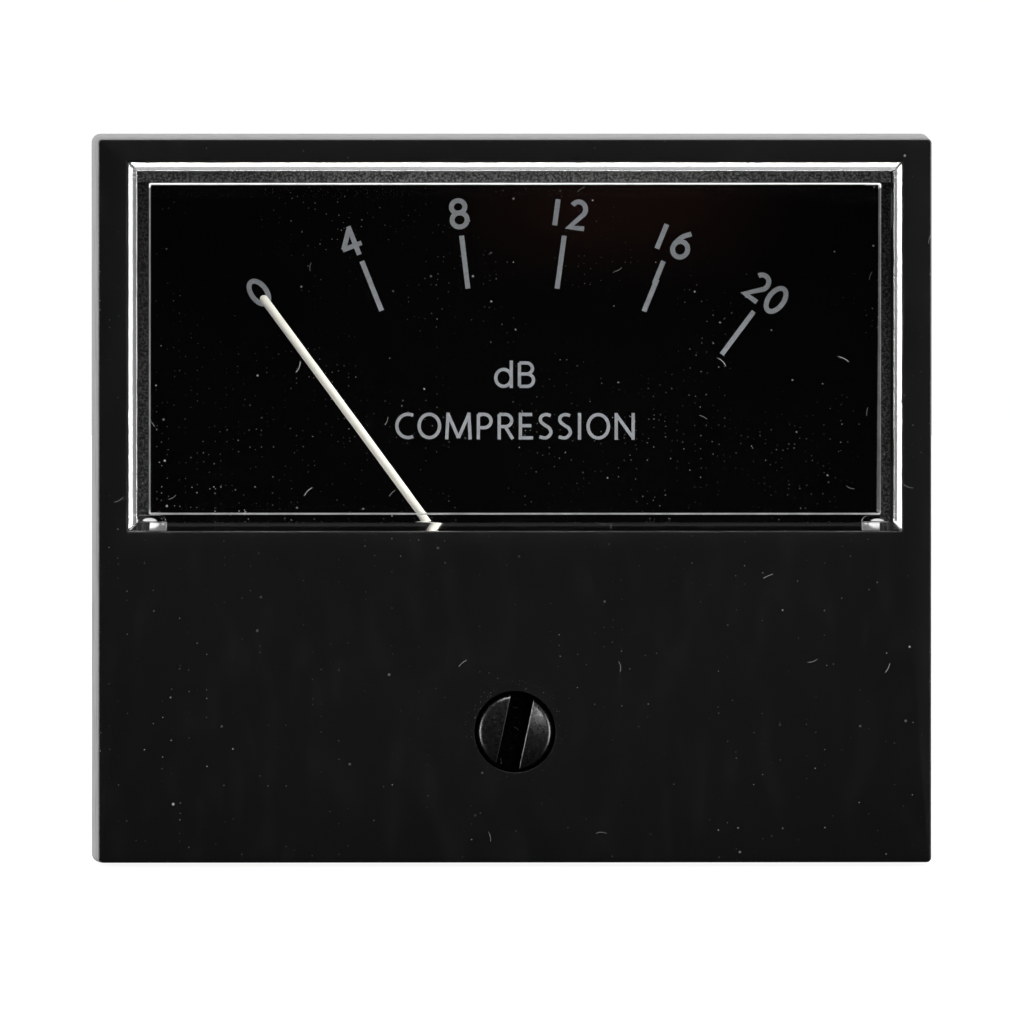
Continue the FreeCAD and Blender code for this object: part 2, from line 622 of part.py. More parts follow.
def bridge(bar_y0, leg_y0, leg_y1):
    """A bar across the pivot with a leg at each end, bored for the jewel screw."""
    z0, z1 = PIVOT_Z - BRIDGE_HALF_H, PIVOT_Z + BRIDGE_HALF_H
    body = box(-BRIDGE_HALF_L, BRIDGE_HALF_L, bar_y0, bar_y0 + BRIDGE_THICK, z0, z1)
    for x in (BRIDGE_X, -BRIDGE_X):
        body = body.fuse(box(x - 1.2, x + 1.2, leg_y0, leg_y1, z0 + 0.3, z1 - 0.3))
    for x in (BRIDGE_X, -BRIDGE_X):
        body = body.cut(rod(LONG_SCREW_R, -20, 30, x, PIVOT_Z))
    return body.cut(rod(JEWEL_SCREW_R, -20, 30, 0, PIVOT_Z)).removeSplitter()


def front_bridge():
    return bridge(BRIDGE_FRONT, BRIDGE_FRONT, CORE_FRONT)


def rear_bridge():
    return bridge(BRIDGE_BACK - BRIDGE_THICK, CORE_BACK, BRIDGE_BACK)


def bridge_screws():
    """Two long screws: front bridge, frame, rear bridge, then the rear case's posts."""
    def screw(side):
        x = side * BRIDGE_X
        head_front = BRIDGE_FRONT - LONG_SCREW_HEAD
        body = rod(LONG_SCREW_HEAD_R, head_front, BRIDGE_FRONT, x, PIVOT_Z)
        body = body.fuse(rod(LONG_SCREW_R, BRIDGE_FRONT, LONG_SCREW_END, x, PIVOT_Z))
        return body.cut(slot_cut(2, 0.4, head_front - 1, head_front + 0.4, x, PIVOT_Z))
    return both_sides(screw)


def jewel_screw(inner_end, outward):
    """A slotted screw whose inner end is bored for the jewel. outward is -1 at the front."""
    outer_end = inner_end + outward * JEWEL_SCREW_L
    y0, y1 = sorted((inner_end, outer_end))
    body = rod(JEWEL_SCREW_R, y0, y1, 0, PIVOT_Z)
    seat0, seat1 = sorted((inner_end - outward * 0.5, inner_end + outward * JEWEL_L))
    body = body.cut(rod(JEWEL_R, seat0, seat1, 0, PIVOT_Z))
    slot0, slot1 = sorted((outer_end + outward * 0.5, outer_end - outward * 0.45))
    return body.cut(slot_cut(2, 0.3, slot0, slot1, 0, PIVOT_Z))


def jewel(inner_end, outward):
    """A sapphire with a conical cup for the pivot's tip."""
    y0, y1 = sorted((inner_end, inner_end + outward * JEWEL_L))
    body = rod(JEWEL_R, y0, y1, 0, PIVOT_Z)
    cup = Part.makeCone(CUP_R, 0, CUP_DEPTH, Vector(0, inner_end, PIVOT_Z), Vector(0, outward, 0))
    return body.cut(cup)


def front_jewel_face():
    return FRONT_TIP - END_SHAKE + CUP_DEPTH


def rear_jewel_face():
    return REAR_TIP + END_SHAKE - CUP_DEPTH


def front_jewel_screw():
    return jewel_screw(front_jewel_face(), -1)


def rear_jewel_screw():
    return jewel_screw(rear_jewel_face(), 1)


def front_jewel():
    return jewel(front_jewel_face(), -1)


def rear_jewel():
    return jewel(rear_jewel_face(), 1)


def front_lock_nut():
    return hex_nut(LOCK_NUT_FLATS, JEWEL_SCREW_R, BRIDGE_FRONT - LOCK_NUT_THICK, BRIDGE_FRONT,
                   0, PIVOT_Z)


def rear_lock_nut():
    return hex_nut(LOCK_NUT_FLATS, JEWEL_SCREW_R, BRIDGE_BACK, BRIDGE_BACK + LOCK_NUT_THICK,
                   0, PIVOT_Z)


def insulating_washers():
    """Fibre washers between each bridge and the part that holds its hairspring."""
    front = ring(1.8, JEWEL_SCREW_R, BRIDGE_UNDER, LEVER_FRONT, 0, PIVOT_Z)
    rear = ring(1.8, JEWEL_SCREW_R, ABUTMENT_BACK, BRIDGE_BACK - BRIDGE_THICK, 0, PIVOT_Z)
    return Part.makeCompound([front, rear])


def rear_abutment():
    """Fixed brass ring behind the coil: a tab for the rear hairspring and a solder lug."""
    y0, y1 = ABUTMENT_BACK - LEVER_THICK, ABUTMENT_BACK
    body = rod(LEVER_RING_R, y0, y1, 0, PIVOT_Z)
    body = body.fuse(box(-0.5, 0.5, y0, y1, PIVOT_Z, PIVOT_Z + 3.8))
    body = body.fuse(spring_tab(y0, y1, rear_spring_y(), y1, TAB_ANGLE))
    return body.cut(rod(JEWEL_SCREW_R, y0 - 1, y1 + 1, 0, PIVOT_Z)).removeSplitter()


# ---------------------------------------------------------------- movement, moving pieces

def coil_frame(half_w, y0, y1, thick):
    """A rectangular hoop around the core, thick all round, in the gap at both sides."""
    outer = box(-half_w - thick, half_w + thick, y0 - thick, y1 + thick,
                PIVOT_Z - COIL_HALF_H, PIVOT_Z + COIL_HALF_H)
    inner = box(-half_w, half_w, y0, y1, PIVOT_Z - 9, PIVOT_Z + 9)
    return outer, inner


def coil_former():
    outer, inner = coil_frame(COIL_HALF_W, COIL_FRONT, COIL_BACK, FORMER_WALL)
    return at_rest(outer.cut(inner))


def coil_winding():
    outer, inner = coil_frame(COIL_HALF_W + FORMER_WALL, COIL_FRONT - FORMER_WALL,
                              COIL_BACK + FORMER_WALL, WINDING)
    upright = [e for e in outer.Edges
               if abs(e.Vertexes[0].Z - e.Vertexes[-1].Z) > 2 * COIL_HALF_H - 0.01]
    return at_rest(outer.makeFillet(0.5, upright).cut(inner))


def pointer_hub():
    """Pressed aluminium cross on the coil's face: a boss, a tail and two side arms."""
    y0, y1 = HUB_FRONT, COIL_FACE
    body = rod(PIVOT_BASE_R, y0, y1, 0, PIVOT_Z)
    arm_y1 = y0 + 0.3
    body = body.fuse(box(-BALANCE_ARM_R, BALANCE_ARM_R, y0, arm_y1, PIVOT_Z - 0.2, PIVOT_Z + 0.2))
    body = body.fuse(box(-0.2, 0.2, y0, arm_y1, PIVOT_Z - BALANCE_ARM_R, PIVOT_Z))
    return at_rest(body.cut(rod(SHAFT_R, y0 - 1, y1 + 1, 0, PIVOT_Z)).removeSplitter())


def balance_weights():
    """Three wire weights, slid along the arms to bring the balance onto the pivot's axis."""
    y = HUB_FRONT + 0.15

    def weight(centre_r, length, degrees):
        start = Vector(0, y, PIVOT_Z + centre_r - length / 2)
        body = Part.makeCylinder(BALANCE_WEIGHT_R, length, start)
        body = body.cut(box(-0.2, 0.2, y - 0.15, y + 0.15, PIVOT_Z, PIVOT_Z + 9))
        return around_pivot(body, degrees)

    pieces = [weight(3.3, 1.6, 180), weight(3.4, 0.8, 90), weight(3.4, 0.8, -90)]
    return at_rest(Part.makeCompound(pieces))


def pointer():
    """Thin aluminium tube: out from the hub, forward past the scale plate, then straight."""
    y = HUB_FRONT + POINTER_R
    points = [Vector(0, y, PIVOT_Z + PIVOT_BASE_R),
              Vector(0, y, PIVOT_Z + CRANK_INNER),
              Vector(0, POINTER_Y, PIVOT_Z + CRANK_OUTER),
              Vector(0, POINTER_Y, PIVOT_Z + POINTER_TIP - POINTER_R)]
    body = tube_path(points, POINTER_R)
    return at_rest(body.cut(rod(PIVOT_BASE_R, y - 3, y + 3, 0, PIVOT_Z)))


def pivot(base_y, outward, shaft_l):
    """Hardened shaft with a conical tip, on the coil's axis. outward is -1 at the front."""
    base0, base1 = sorted((base_y, base_y + outward * shaft_l))
    shaft = rod(SHAFT_R, base0, base1, 0, PIVOT_Z)
    start = Vector(0, base_y + outward * shaft_l, PIVOT_Z)
    tip = Part.makeCone(SHAFT_R, 0.02, CONE_L, start, Vector(0, outward, 0))
    return shaft.fuse(tip)


def front_pivot():
    return at_rest(pivot(COIL_FACE, -1, HUB_THICK + 1.4))


def rear_pivot():
    base = rod(PIVOT_BASE_R, COIL_TAIL, REAR_BASE, 0, PIVOT_Z)
    return at_rest(pivot(REAR_BASE, 1, 1.4).fuse(base).removeSplitter())


def front_collet_y():
    return HUB_FRONT - COLLET_SETBACK - COLLET_L


def rear_collet_y():
    return REAR_BASE + COLLET_SETBACK


def front_spring_y():
    return front_collet_y() + (COLLET_L - SPRING_W) / 2


def rear_spring_y():
    return rear_collet_y() + (COLLET_L - SPRING_W) / 2


def spring_collets():
    """Brass collets on the two pivots, for the inner ends of the hairsprings."""
    pair = [ring(COLLET_R, SHAFT_R, y, y + COLLET_L, 0, PIVOT_Z)
            for y in (front_collet_y(), rear_collet_y())]
    return at_rest(Part.makeCompound(pair))


def hairspring(y0, hand):
    """A flat spiral of bronze strip from the collet out to the tab at TAB_ANGLE."""
    inner_r = COLLET_R + SPRING_THICK / 2
    outer_r = SPRING_OUTER_R
    steps = int(SPRING_TURNS * 16)
    end = math.radians(TAB_ANGLE)

    def edge(offset):
        points = []
        for i in range(steps + 1):
            share = i / steps
            a = end - hand * 2 * math.pi * SPRING_TURNS * (1 - share)
            r = inner_r + (outer_r - inner_r) * share + offset
            points.append(Vector(r * math.sin(a), y0, PIVOT_Z + r * math.cos(a)))
        curve = Part.BSplineCurve()
        curve.interpolate(points)
        return curve.toShape(), points

    outside, far = edge(SPRING_THICK / 2)
    inside, near = edge(-SPRING_THICK / 2)
    outline = Part.Wire([inside, Part.makeLine(near[-1], far[-1]), outside,
                         Part.makeLine(far[0], near[0])])
    return Part.Face(outline).extrude(Vector(0, SPRING_W, 0))


def front_hairspring():
    return hairspring(front_spring_y(), 1)


def rear_hairspring():
    return hairspring(rear_spring_y(), -1)


# ---------------------------------------------------------------- scale and stops

def scale_plate():
    """Aluminium plate behind the window, with an ear low at each side for its screws."""
    y0, y1 = SCALE_FRONT, SCALE_FRONT + SCALE_THICK
    body = box(-SCALE_HALF_W, SCALE_HALF_W, y0, y1, SCALE_LOW, SCALE_TOP)
    for side in (1, -1):
        x0, x1 = sorted((side * SCALE_EAR_X, side * SCALE_HALF_W))
        body = body.fuse(box(x0, x1, y0, y1, SCALE_EAR_LOW, SCALE_LOW))
        body = body.cut(rod(SCALE_SCREW_R, y0 - 1, y1 + 1, side * SCALE_SCREW_X, SCALE_SCREW_Z))
        x, z = stop_place(side)
        body = body.cut(rod(STOP_WIRE_R, y0 - 1, y1 + 1, x, z))
    return body.removeSplitter()


def scale_screws():
    def screw(side):
        x, z = side * SCALE_SCREW_X, SCALE_SCREW_Z
        body = rod(1.25, SCALE_FRONT - 0.7, SCALE_FRONT, x, z)
        body = body.fuse(rod(SCALE_SCREW_R, SCALE_FRONT, -0.9, x, z))
        return body.cut(slot_cut(2, 0.35, SCALE_FRONT - 2, SCALE_FRONT - 0.35, x, z))
    return both_sides(screw)


def stop_place(side):
    """Where a stop stands: beside the pointer, STOP_MARGIN past the scale's end."""
    a = math.radians(SWEEP / 2 + STOP_MARGIN)
    clear = POINTER_R + STOP_SLEEVE_R
    a += math.asin(clear / STOP_RADIUS)
    return side * STOP_RADIUS * math.sin(a), PIVOT_Z + STOP_RADIUS * math.cos(a)


def stop_pins():
    """Two wires through the scale plate that catch the pointer."""
    def pin(side):
        x, z = stop_place(side)
        return rod(STOP_WIRE_R, POINTER_Y - 0.4, SCALE_FRONT + SCALE_THICK + 0.3, x, z)
    return both_sides(pin)


def stop_sleeves():
    def sleeve(side):
        x, z = stop_place(side)
        return ring(STOP_SLEEVE_R, STOP_WIRE_R, POINTER_Y - 0.35, SCALE_FRONT, x, z)
    return both_sides(sleeve)


# ---------------------------------------------------------------- wiring

def wire(points, x_sign):
    """An insulated lead along a smooth curve through the points."""
    path = [Vector(x_sign * x, y, z) for x, y, z in points]
    curve = Part.BSplineCurve()
    curve.interpolate(path)
    spine = Part.Wire(curve.toShape())
    along = curve.tangent(curve.FirstParameter)[0]
    section = Part.Wire(Part.makeCircle(WIRE_R, path[0], along))
    return spine.makePipeShell([section], True, True)


def lead_wire_positive():
    """From the positive terminal's inner tag to the rear abutment's lug."""
    lug_y = ABUTMENT_BACK + WIRE_R
    return wire([(TERMINAL_X, BARREL_FLOOR_Y - INNER_TAG_THICK - WIRE_R, TERMINAL_Z - 4.2),
                 (TERMINAL_X - 2.5, BARREL_FLOOR_Y - 1.6, TERMINAL_Z - 5.6),
                 (3.0, 14.4, -0.6),
                 (0.6, 12.9, -2.6),
                 (0.0, lug_y + 0.02, PIVOT_Z + 3.4)], 1)


def lead_wire_negative():
    """From the negative terminal's inner tag forward to the front bridge."""
    leg_top = PIVOT_Z + BRIDGE_HALF_H - 0.3
    return wire([(TERMINAL_X, BARREL_FLOOR_Y - INNER_TAG_THICK - WIRE_R, TERMINAL_Z - 4.2),
                 (TERMINAL_X + 1.2, 13.5, 1.6),
                 (BRIDGE_X + 1.0, 7.5, 0.4),
                 (BRIDGE_X + 0.4, 1.5, -2.2),
                 (BRIDGE_X, -2.6, leg_top + WIRE_R + 0.02)], -1)


# ---------------------------------------------------------------- the assembly

NODES = {
    "front_cover": front_cover,
    "window_lens": window_lens,
    "rear_case": rear_case,
    "cover_screws": cover_screws,
    "panel_studs": panel_studs,
    "terminal_studs": terminal_studs,
    "terminal_inner_tags": inner_tags,
    "terminal_washers": terminal_washers,
    "solder_tags": solder_tags,
    "terminal_nuts": terminal_nuts,
    "zero_adjuster": zero_adjuster,
    "adjuster_clip": adjuster_clip,
    "zero_lever": zero_lever,
    "core_magnet": core_magnet,
    "yoke_ring": yoke_ring,
    "core_holder": core_holder,
    "movement_frame": movement_frame,
    "front_bridge": front_bridge,
    "rear_bridge": rear_bridge,
    "bridge_screws": bridge_screws,
    "front_jewel_screw": front_jewel_screw,
    "rear_jewel_screw": rear_jewel_screw,
    "front_jewel": front_jewel,
    "rear_jewel": rear_jewel,
    "front_lock_nut": front_lock_nut,
    "rear_lock_nut": rear_lock_nut,
    "insulating_washers": insulating_washers,
    "rear_abutment": rear_abutment,
    "coil_former": coil_former,
    "coil_winding": coil_winding,
    "pointer_hub": pointer_hub,
    "balance_weights": balance_weights,
    "pointer": pointer,
    "front_pivot": front_pivot,
    "rear_pivot": rear_pivot,
    "spring_collets": spring_collets,
    "front_hairspring": front_hairspring,
    "rear_hairspring": rear_hairspring,
    "scale_plate": scale_plate,
    "scale_screws": scale_screws,
    "stop_pins": stop_pins,
    "stop_sleeves": stop_sleeves,
    "lead_wire_positive": lead_wire_positive,
    "lead_wire_negative": lead_wire_negative,
}


def main():
    os.makedirs("parts", exist_ok=True)
    for name, make in NODES.items():
        shape = make()
        for solid in shape.Solids:
            if not solid.isValid() or solid.Volume <= 0:
                raise ValueError(f"{name} has a solid that isn't valid")
        shape.exportStep(f"parts/{name}.step")
        print(f"{name}: {len(shape.Solids)} solid(s), {shape.Volume:.3f} mm3")


main()
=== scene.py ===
import json
import math
from functools import reduce

import bmesh
import bpy
from mathutils import Matrix, Vector

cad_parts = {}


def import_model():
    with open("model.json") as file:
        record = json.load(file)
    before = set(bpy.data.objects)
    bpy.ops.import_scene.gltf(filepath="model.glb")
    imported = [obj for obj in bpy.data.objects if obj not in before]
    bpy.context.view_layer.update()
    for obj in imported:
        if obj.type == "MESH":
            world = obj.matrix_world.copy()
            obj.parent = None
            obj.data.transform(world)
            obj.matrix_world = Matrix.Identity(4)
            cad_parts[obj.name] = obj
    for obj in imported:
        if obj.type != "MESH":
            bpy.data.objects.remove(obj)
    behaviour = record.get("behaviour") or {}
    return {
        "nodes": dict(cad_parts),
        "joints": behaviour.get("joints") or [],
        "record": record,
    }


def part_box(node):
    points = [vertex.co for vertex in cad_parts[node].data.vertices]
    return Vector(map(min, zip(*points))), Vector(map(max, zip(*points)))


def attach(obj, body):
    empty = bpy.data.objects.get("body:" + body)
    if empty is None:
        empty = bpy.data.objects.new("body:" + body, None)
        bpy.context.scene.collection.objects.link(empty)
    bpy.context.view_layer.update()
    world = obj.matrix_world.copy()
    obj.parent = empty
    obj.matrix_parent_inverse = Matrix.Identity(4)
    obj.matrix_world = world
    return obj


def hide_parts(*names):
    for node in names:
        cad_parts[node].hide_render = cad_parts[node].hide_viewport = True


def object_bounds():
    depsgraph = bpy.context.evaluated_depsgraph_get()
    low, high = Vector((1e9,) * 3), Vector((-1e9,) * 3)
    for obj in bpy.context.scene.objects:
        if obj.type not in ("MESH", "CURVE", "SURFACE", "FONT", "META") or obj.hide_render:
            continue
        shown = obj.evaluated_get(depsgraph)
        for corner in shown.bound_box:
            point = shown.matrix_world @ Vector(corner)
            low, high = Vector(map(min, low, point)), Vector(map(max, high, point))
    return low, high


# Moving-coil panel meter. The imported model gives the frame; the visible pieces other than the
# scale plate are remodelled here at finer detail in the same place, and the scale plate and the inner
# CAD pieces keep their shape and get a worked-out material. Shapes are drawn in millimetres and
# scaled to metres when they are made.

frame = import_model()
cad_low, cad_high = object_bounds()
MM = 0.001


def span(node):
    """A node's lowest and highest corner, in millimetres."""
    low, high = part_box(node)
    return Vector(low) / MM, Vector(high) / MM


def joint_place(name):
    places = {joint["name"]: joint["pos_m"] for joint in frame["joints"]}
    return Vector(places[name]) / MM


# ---------------------------------------------------------------- sizes, in millimetres

COVER_LOW, COVER_HIGH = span("front_cover")
CASE_HIGH = span("rear_case")[1]
LENS_LOW, LENS_HIGH = span("window_lens")
SCALE_FRONT = span("scale_plate")[0].y
PIVOT = joint_place("pointer_swing")
ADJUSTER = joint_place("zero_adjuster_turn")

FACE_Y = COVER_LOW.y
FACE_THICK = 1.4
FACE_BACK = FACE_Y + FACE_THICK
DRAFT = math.tan(math.radians(1.5))
RIM_HALF_W = COVER_HIGH.x                # cover at its rear rim
RIM_HALF_H = COVER_HIGH.z
FACE_HALF_W = RIM_HALF_W + FACE_Y * DRAFT
FACE_HALF_H = RIM_HALF_H + FACE_Y * DRAFT
COVER_WALL = 1.15
COVER_EDGE_R = 0.12                      # rounding between the face and the sides
COVER_RIM_R = 0.12                       # rounding of the rear rim
COVER_CORNER_R = 0.45
COVER_INNER_R = 0.3
FACE_CORNER_R = 0.26
ROOT = 0.3                               # how far a boss or post runs into what carries it
ADJUSTER_BOSS_R = 3.0
ADJUSTER_BOSS_END = -6.2
ADJUSTER_HOLE_R = 2.07
ADJUSTER_SEAT = FACE_Y + 1.6
ADJUSTER_BORE_R = 1.35
POST_R = 1.6                             # posts that the cover screws cut into
POST_END = -2.0
POST_DRILL_R = 0.78
POST_DRILL_START = -6.0

LENS_GAP = 0.05
LENS_FRONT = LENS_LOW.y
LENS_BACK = LENS_HIGH.y
LENS_TOP = LENS_HIGH.z
LENS_HALF_W = 19.7
LENS_BOTTOM = -1.52
LENS_WALL = 1.05
LENS_SILL = 0.82
LENS_THICK = 1.1
LENS_DRAFT = math.tan(math.radians(0.3))
LENS_LIP = 0.45
LENS_FOOT = 1.45
LENS_FOOT_R = 0.34
LENS_FOOT_LOW = 0.06
LENS_BEVEL = 0.5
LENS_CORNER_R = 0.16
LENS_INNER_R = 0.1
LENS_FILLET = 0.1
ACRYLIC_IOR = 1.49
WINDOW_HALF_W = LENS_HALF_W + LENS_GAP
WINDOW_LOW = LENS_BOTTOM - LENS_GAP
WINDOW_HIGH = LENS_TOP + LENS_GAP
WINDOW_CHAMFER = 0.05
WINDOW_CORNER_R = 0.08

SWEEP = 72.4                             # degrees from the scale's 0 to its 20
SCALE_MAX = 20
SCALE_STEP = 4
TICK_INNER = 18.1
TICK_OUTER = 20.85
TICK_W = 0.25
NUMBER_R = 22.0
NUMBER_H = 1.6
NUMBER_STROKE = 0.25
NUMBER_ADVANCE = 1.12
TEXT_H = 1.37
TEXT_STROKE = 0.165
UNIT_PLACE = (0.105, 5.71)               # middle and foot of dB
WORD_PLACE = (0.125, 3.06)               # middle and foot of COMPRESSION
PRINT_THICK = 0.012
SLOT_ANGLE = 12.0
SLOT_HALF_W = 0.6
SLOT_DEPTH = 0.95
RUNNING_GAP = 0.03

REST_ANGLE = -SWEEP / 2
POINTER_Y = -6.5
POINTER_R = 0.21
POINTER_TIP = 21.8

# Behind the panel and inside the case.
FLANGE = 2.0
BARREL_R = 17.0
BARREL_WALL = 1.3
BARREL_END = 19.0
BARREL_FLOOR = 17.0
EJECTOR_R = 13.2
TERMINAL_X = 9.0
TERMINAL_Z = 7.0
STUD_HEX = 5.0
STUD_X = 17.6
STUD_Z = 14.8
COVER_SCREW_X = 18.2
COVER_SCREW_Z = -9.2
SCREW_HEAD_R = 1.55
LUG_X = 9.0
SCALE_SCREW_X = 17.5
SCALE_SCREW_Z = -4.4
BRIDGE_SCREW_X = 9.6
BRIDGE_BACK = 12.8
YOKE_BORE = 6.4
COIL_HALF_W = 4.75
COIL_FRONT = -0.35
COIL_BACK = 7.75
WINDING_TURNS = 20
SPRING_TURNS = 4.25
TAB_ANGLE = 130.0
STOP_MARGIN = 5.0
STOP_RADIUS = 6.3
SLEEVE_R = 0.45
PIN_R = 0.25

# Painted glow: emission on the lens's inner walls, standing for light carried inside them, as seen on each
# side of the window.
EDGE_GLOW = {"top": 0.8, "left": 0.15, "right": 0.11, "bottom": 0.24, "foot": 0.17, "mark": 1.6}
# The feet's "mark" is a painted highlight, a bright oval of emission centred here.
FOOT_HIGHLIGHT_X = 18.55
FOOT_HIGHLIGHT_Z = -1.09

# Light, floor and camera.
SIDE_BOX = 20.0
TOP_BOX = 22.0
SIDE_DIP = 0.86
TOP_DIP = 0.62
KEY_BOX = 32.0
KEY_PLACE = (0.43, -0.857, 0.28)
KEY_EDGE = (0.994, 0.999)                # cosines at the key box's outer and inner edge
BACK_LIGHT = 1.65
FRONT_LIGHT = 0.004
FLOOR_SIZE = 1.6
FRAME_WIDTH = 51.47
CAMERA_DISTANCE = 1300.0
CAMERA_LEFT = 1.46
CAMERA_ABOVE = 0.94
SENSOR = 36.0
AIM_X = -0.51
AIM_Z = -0.219


# ---------------------------------------------------------------- mesh helpers

def new_object(name, mesh):
    obj = bpy.data.objects.new(name, mesh)
    bpy.context.scene.collection.objects.link(obj)
    return obj


def piece(name, bm, body, material, *nodes, sharp=32):
    """Make an object of a mesh drawn in millimetres, on a body, standing for CAD nodes."""
    bmesh.ops.remove_doubles(bm, verts=bm.verts, dist=1e-5)
    bmesh.ops.recalc_face_normals(bm, faces=bm.faces)
    bmesh.ops.scale(bm, vec=(MM, MM, MM), verts=bm.verts)
    mesh = used_up(bm, name)
    mesh.shade_smooth()
    mesh.set_sharp_from_angle(angle=math.radians(sharp))
    mesh.materials.append(material)
    obj = new_object(name, mesh)
    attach(obj, body)
    if nodes:
        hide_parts(*nodes)
    return obj


def loft(rings, closed=False):
    """A closed mesh through rings of points, all of one length: the last joins the first, or
    both are capped."""
    bm = bmesh.new()
    rows = [[bm.verts.new(p) for p in ring] for ring in rings]
    pairs = list(zip(rows, rows[1:]))
    if closed:
        pairs.append((rows[-1], rows[0]))
    count = len(rows[0])
    for a, b in pairs:
        for i in range(count):
            j = (i + 1) % count
            bm.faces.new((a[i], a[j], b[j], b[i]))
    if not closed:
        bm.faces.new(list(reversed(rows[0])))
        bm.faces.new(rows[-1])
    bmesh.ops.recalc_face_normals(bm, faces=bm.faces)
    return bm


def arc(cx, cz, rx, rz, start, end, steps=20):
    """(x, z) points along part of an ellipse, in degrees from +X towards +Z."""
    points = []
    for i in range(steps + 1):
        a = math.radians(start + (end - start) * i / steps)
        points.append((cx + rx * math.cos(a), cz + rz * math.sin(a)))
    return points


def quarter(steps):
    """The angles of a quarter turn, from 0 to 90 degrees, in radians."""
    return [math.pi / 2 * i / steps for i in range(steps + 1)]


def rect_ring(half_w, low, high, radius, y, steps=6):
    """Points round a rounded rectangle in the plane at y, centred on x = 0."""
    corners = ((half_w - radius, low + radius, -90), (half_w - radius, high - radius, 0),
               (radius - half_w, high - radius, 90), (radius - half_w, low + radius, 180))
    return [(x, y, z) for cx, cz, start in corners
            for x, z in arc(cx, cz, radius, radius, start, start + 90, steps)]


def lathe(profile, x=0.0, z=0.0, steps=96, ring=False):
    """Turn (radius, y) points about the Y axis through (x, z)."""
    bm = bmesh.new()
    rows = []
    for radius, y in profile:
        if radius < 1e-6:
            rows.append([bm.verts.new((x, y, z))])
            continue
        row = []
        for i in range(steps):
            a = 2 * math.pi * i / steps
            row.append(bm.verts.new((x + radius * math.sin(a), y, z + radius * math.cos(a))))
        rows.append(row)
    pairs = list(zip(rows, rows[1:]))
    if ring:
        pairs.append((rows[-1], rows[0]))
    for a, b in pairs:
        for i in range(steps):
            j = (i + 1) % steps
            corners = [a[i % len(a)], a[j % len(a)], b[j % len(b)], b[i % len(b)]]
            bm.faces.new(list(dict.fromkeys(corners)))
    bmesh.ops.recalc_face_normals(bm, faces=bm.faces)
    return bm


def rod(radius, y0, y1, x=0.0, z=0.0, steps=96):
    """A plain cylinder with sharp edges."""
    return lathe([(0, y0), (radius, y0), (radius, y1), (0, y1)], x, z, steps)


def round_rim(radius, y, r, side, inward, steps=5):
    """Profile points of a rounded outer edge: side is -1 for a front edge, 1 for a rear one."""
    return [(radius - inward * (r - r * math.cos(a)), y - side * (r - r * math.sin(a)))
            for a in quarter(steps)]


def turned(radius, y0, y1, edge, x=0.0, z=0.0, steps=96):
    """A solid disc or rod with both edges rounded."""
    profile = [(0, y0)] + list(reversed(round_rim(radius, y0, edge, -1, 1)))
    profile += round_rim(radius, y1, edge, 1, 1) + [(0, y1)]
    return lathe(profile, x, z, steps)


def washer(r_out, r_in, y0, y1, edge, x=0.0, z=0.0, steps=96):
    """A flat ring with its four edges rounded."""
    profile = list(reversed(round_rim(r_out, y0, edge, -1, 1)))
    profile += round_rim(r_out, y1, edge, 1, 1)
    profile += list(reversed(round_rim(r_in, y1, edge, 1, -1)))
    profile += round_rim(r_in, y0, edge, -1, -1)
    return lathe(profile, x, z, steps, ring=True)


def block(x0, x1, y0, y1, z0, z1):
    """A plain box between two values on each axis."""
    bm = bmesh.new()
    bmesh.ops.create_cube(bm, size=1)
    bmesh.ops.scale(bm, vec=(x1 - x0, y1 - y0, z1 - z0), verts=bm.verts)
    bmesh.ops.translate(bm, vec=((x0 + x1) / 2, (y0 + y1) / 2, (z0 + z1) / 2), verts=bm.verts)
    return bm


def prism(outline, y0, y1):
    """A straight-sided solid between y0 and y1 whose outline is (x, z) points."""
    return loft([[(x, y, z) for x, z in outline] for y in (y0, y1)])


def bevel(bm, edges, width, segments):
    bmesh.ops.bevel(bm, geom=edges, offset=width, segments=segments, profile=0.5,
                    affect="EDGES", clamp_overlap=True)
    return bm


def soften(bm, width):
    """Round every edge whose faces meet more sharply than 40 degrees."""
    limit = math.radians(40)
    edges = [e for e in bm.edges if len(e.link_faces) == 2 and e.calc_face_angle(0) > limit]
    return bevel(bm, edges, width, 2)


def turn(bm, degrees, axis="Y", about=(0, 0, 0)):
    """Turned about an axis through a point; all of these helpers change the mesh they take."""
    bmesh.ops.rotate(bm, verts=bm.verts, cent=Vector(about),
                     matrix=Matrix.Rotation(math.radians(degrees), 3, axis))
    return bm


def swung(bm, degrees):
    """Turned about the pointer's axis."""
    return turn(bm, degrees, about=(0, 0, PIVOT.z))


def used_up(bm, name="work"):
    """A bmesh turned into a mesh of its own, and freed."""
    mesh = bpy.data.meshes.new(name)
    bm.to_mesh(mesh)
    bm.free()
    return mesh


def joined(*parts):
    """One mesh of several separate closed shells."""
    out = bmesh.new()
    for part in parts:
        mesh = used_up(part)
        out.from_mesh(mesh)
        bpy.data.meshes.remove(mesh)
    return out


def combine(base, tool, operation):
    """Boolean of two closed meshes, both used up."""
    first, second = (new_object("work", used_up(bm)) for bm in (base, tool))
    boolean = first.modifiers.new("combine", "BOOLEAN")
    boolean.object = second
    boolean.operation = operation
    boolean.solver = "EXACT"
    shown = first.evaluated_get(bpy.context.evaluated_depsgraph_get())
    out = bmesh.new()
    out.from_mesh(shown.to_mesh())
    shown.to_mesh_clear()
    for obj in (first, second):
        mesh = obj.data
        bpy.data.objects.remove(obj)
        bpy.data.meshes.remove(mesh)
    return out


def cut(base, *tools):
    for tool in tools:
        base = combine(base, tool, "DIFFERENCE")
    return base


def fuse(base, *tools):
    for tool in tools:
        base = combine(base, tool, "UNION")
    return base


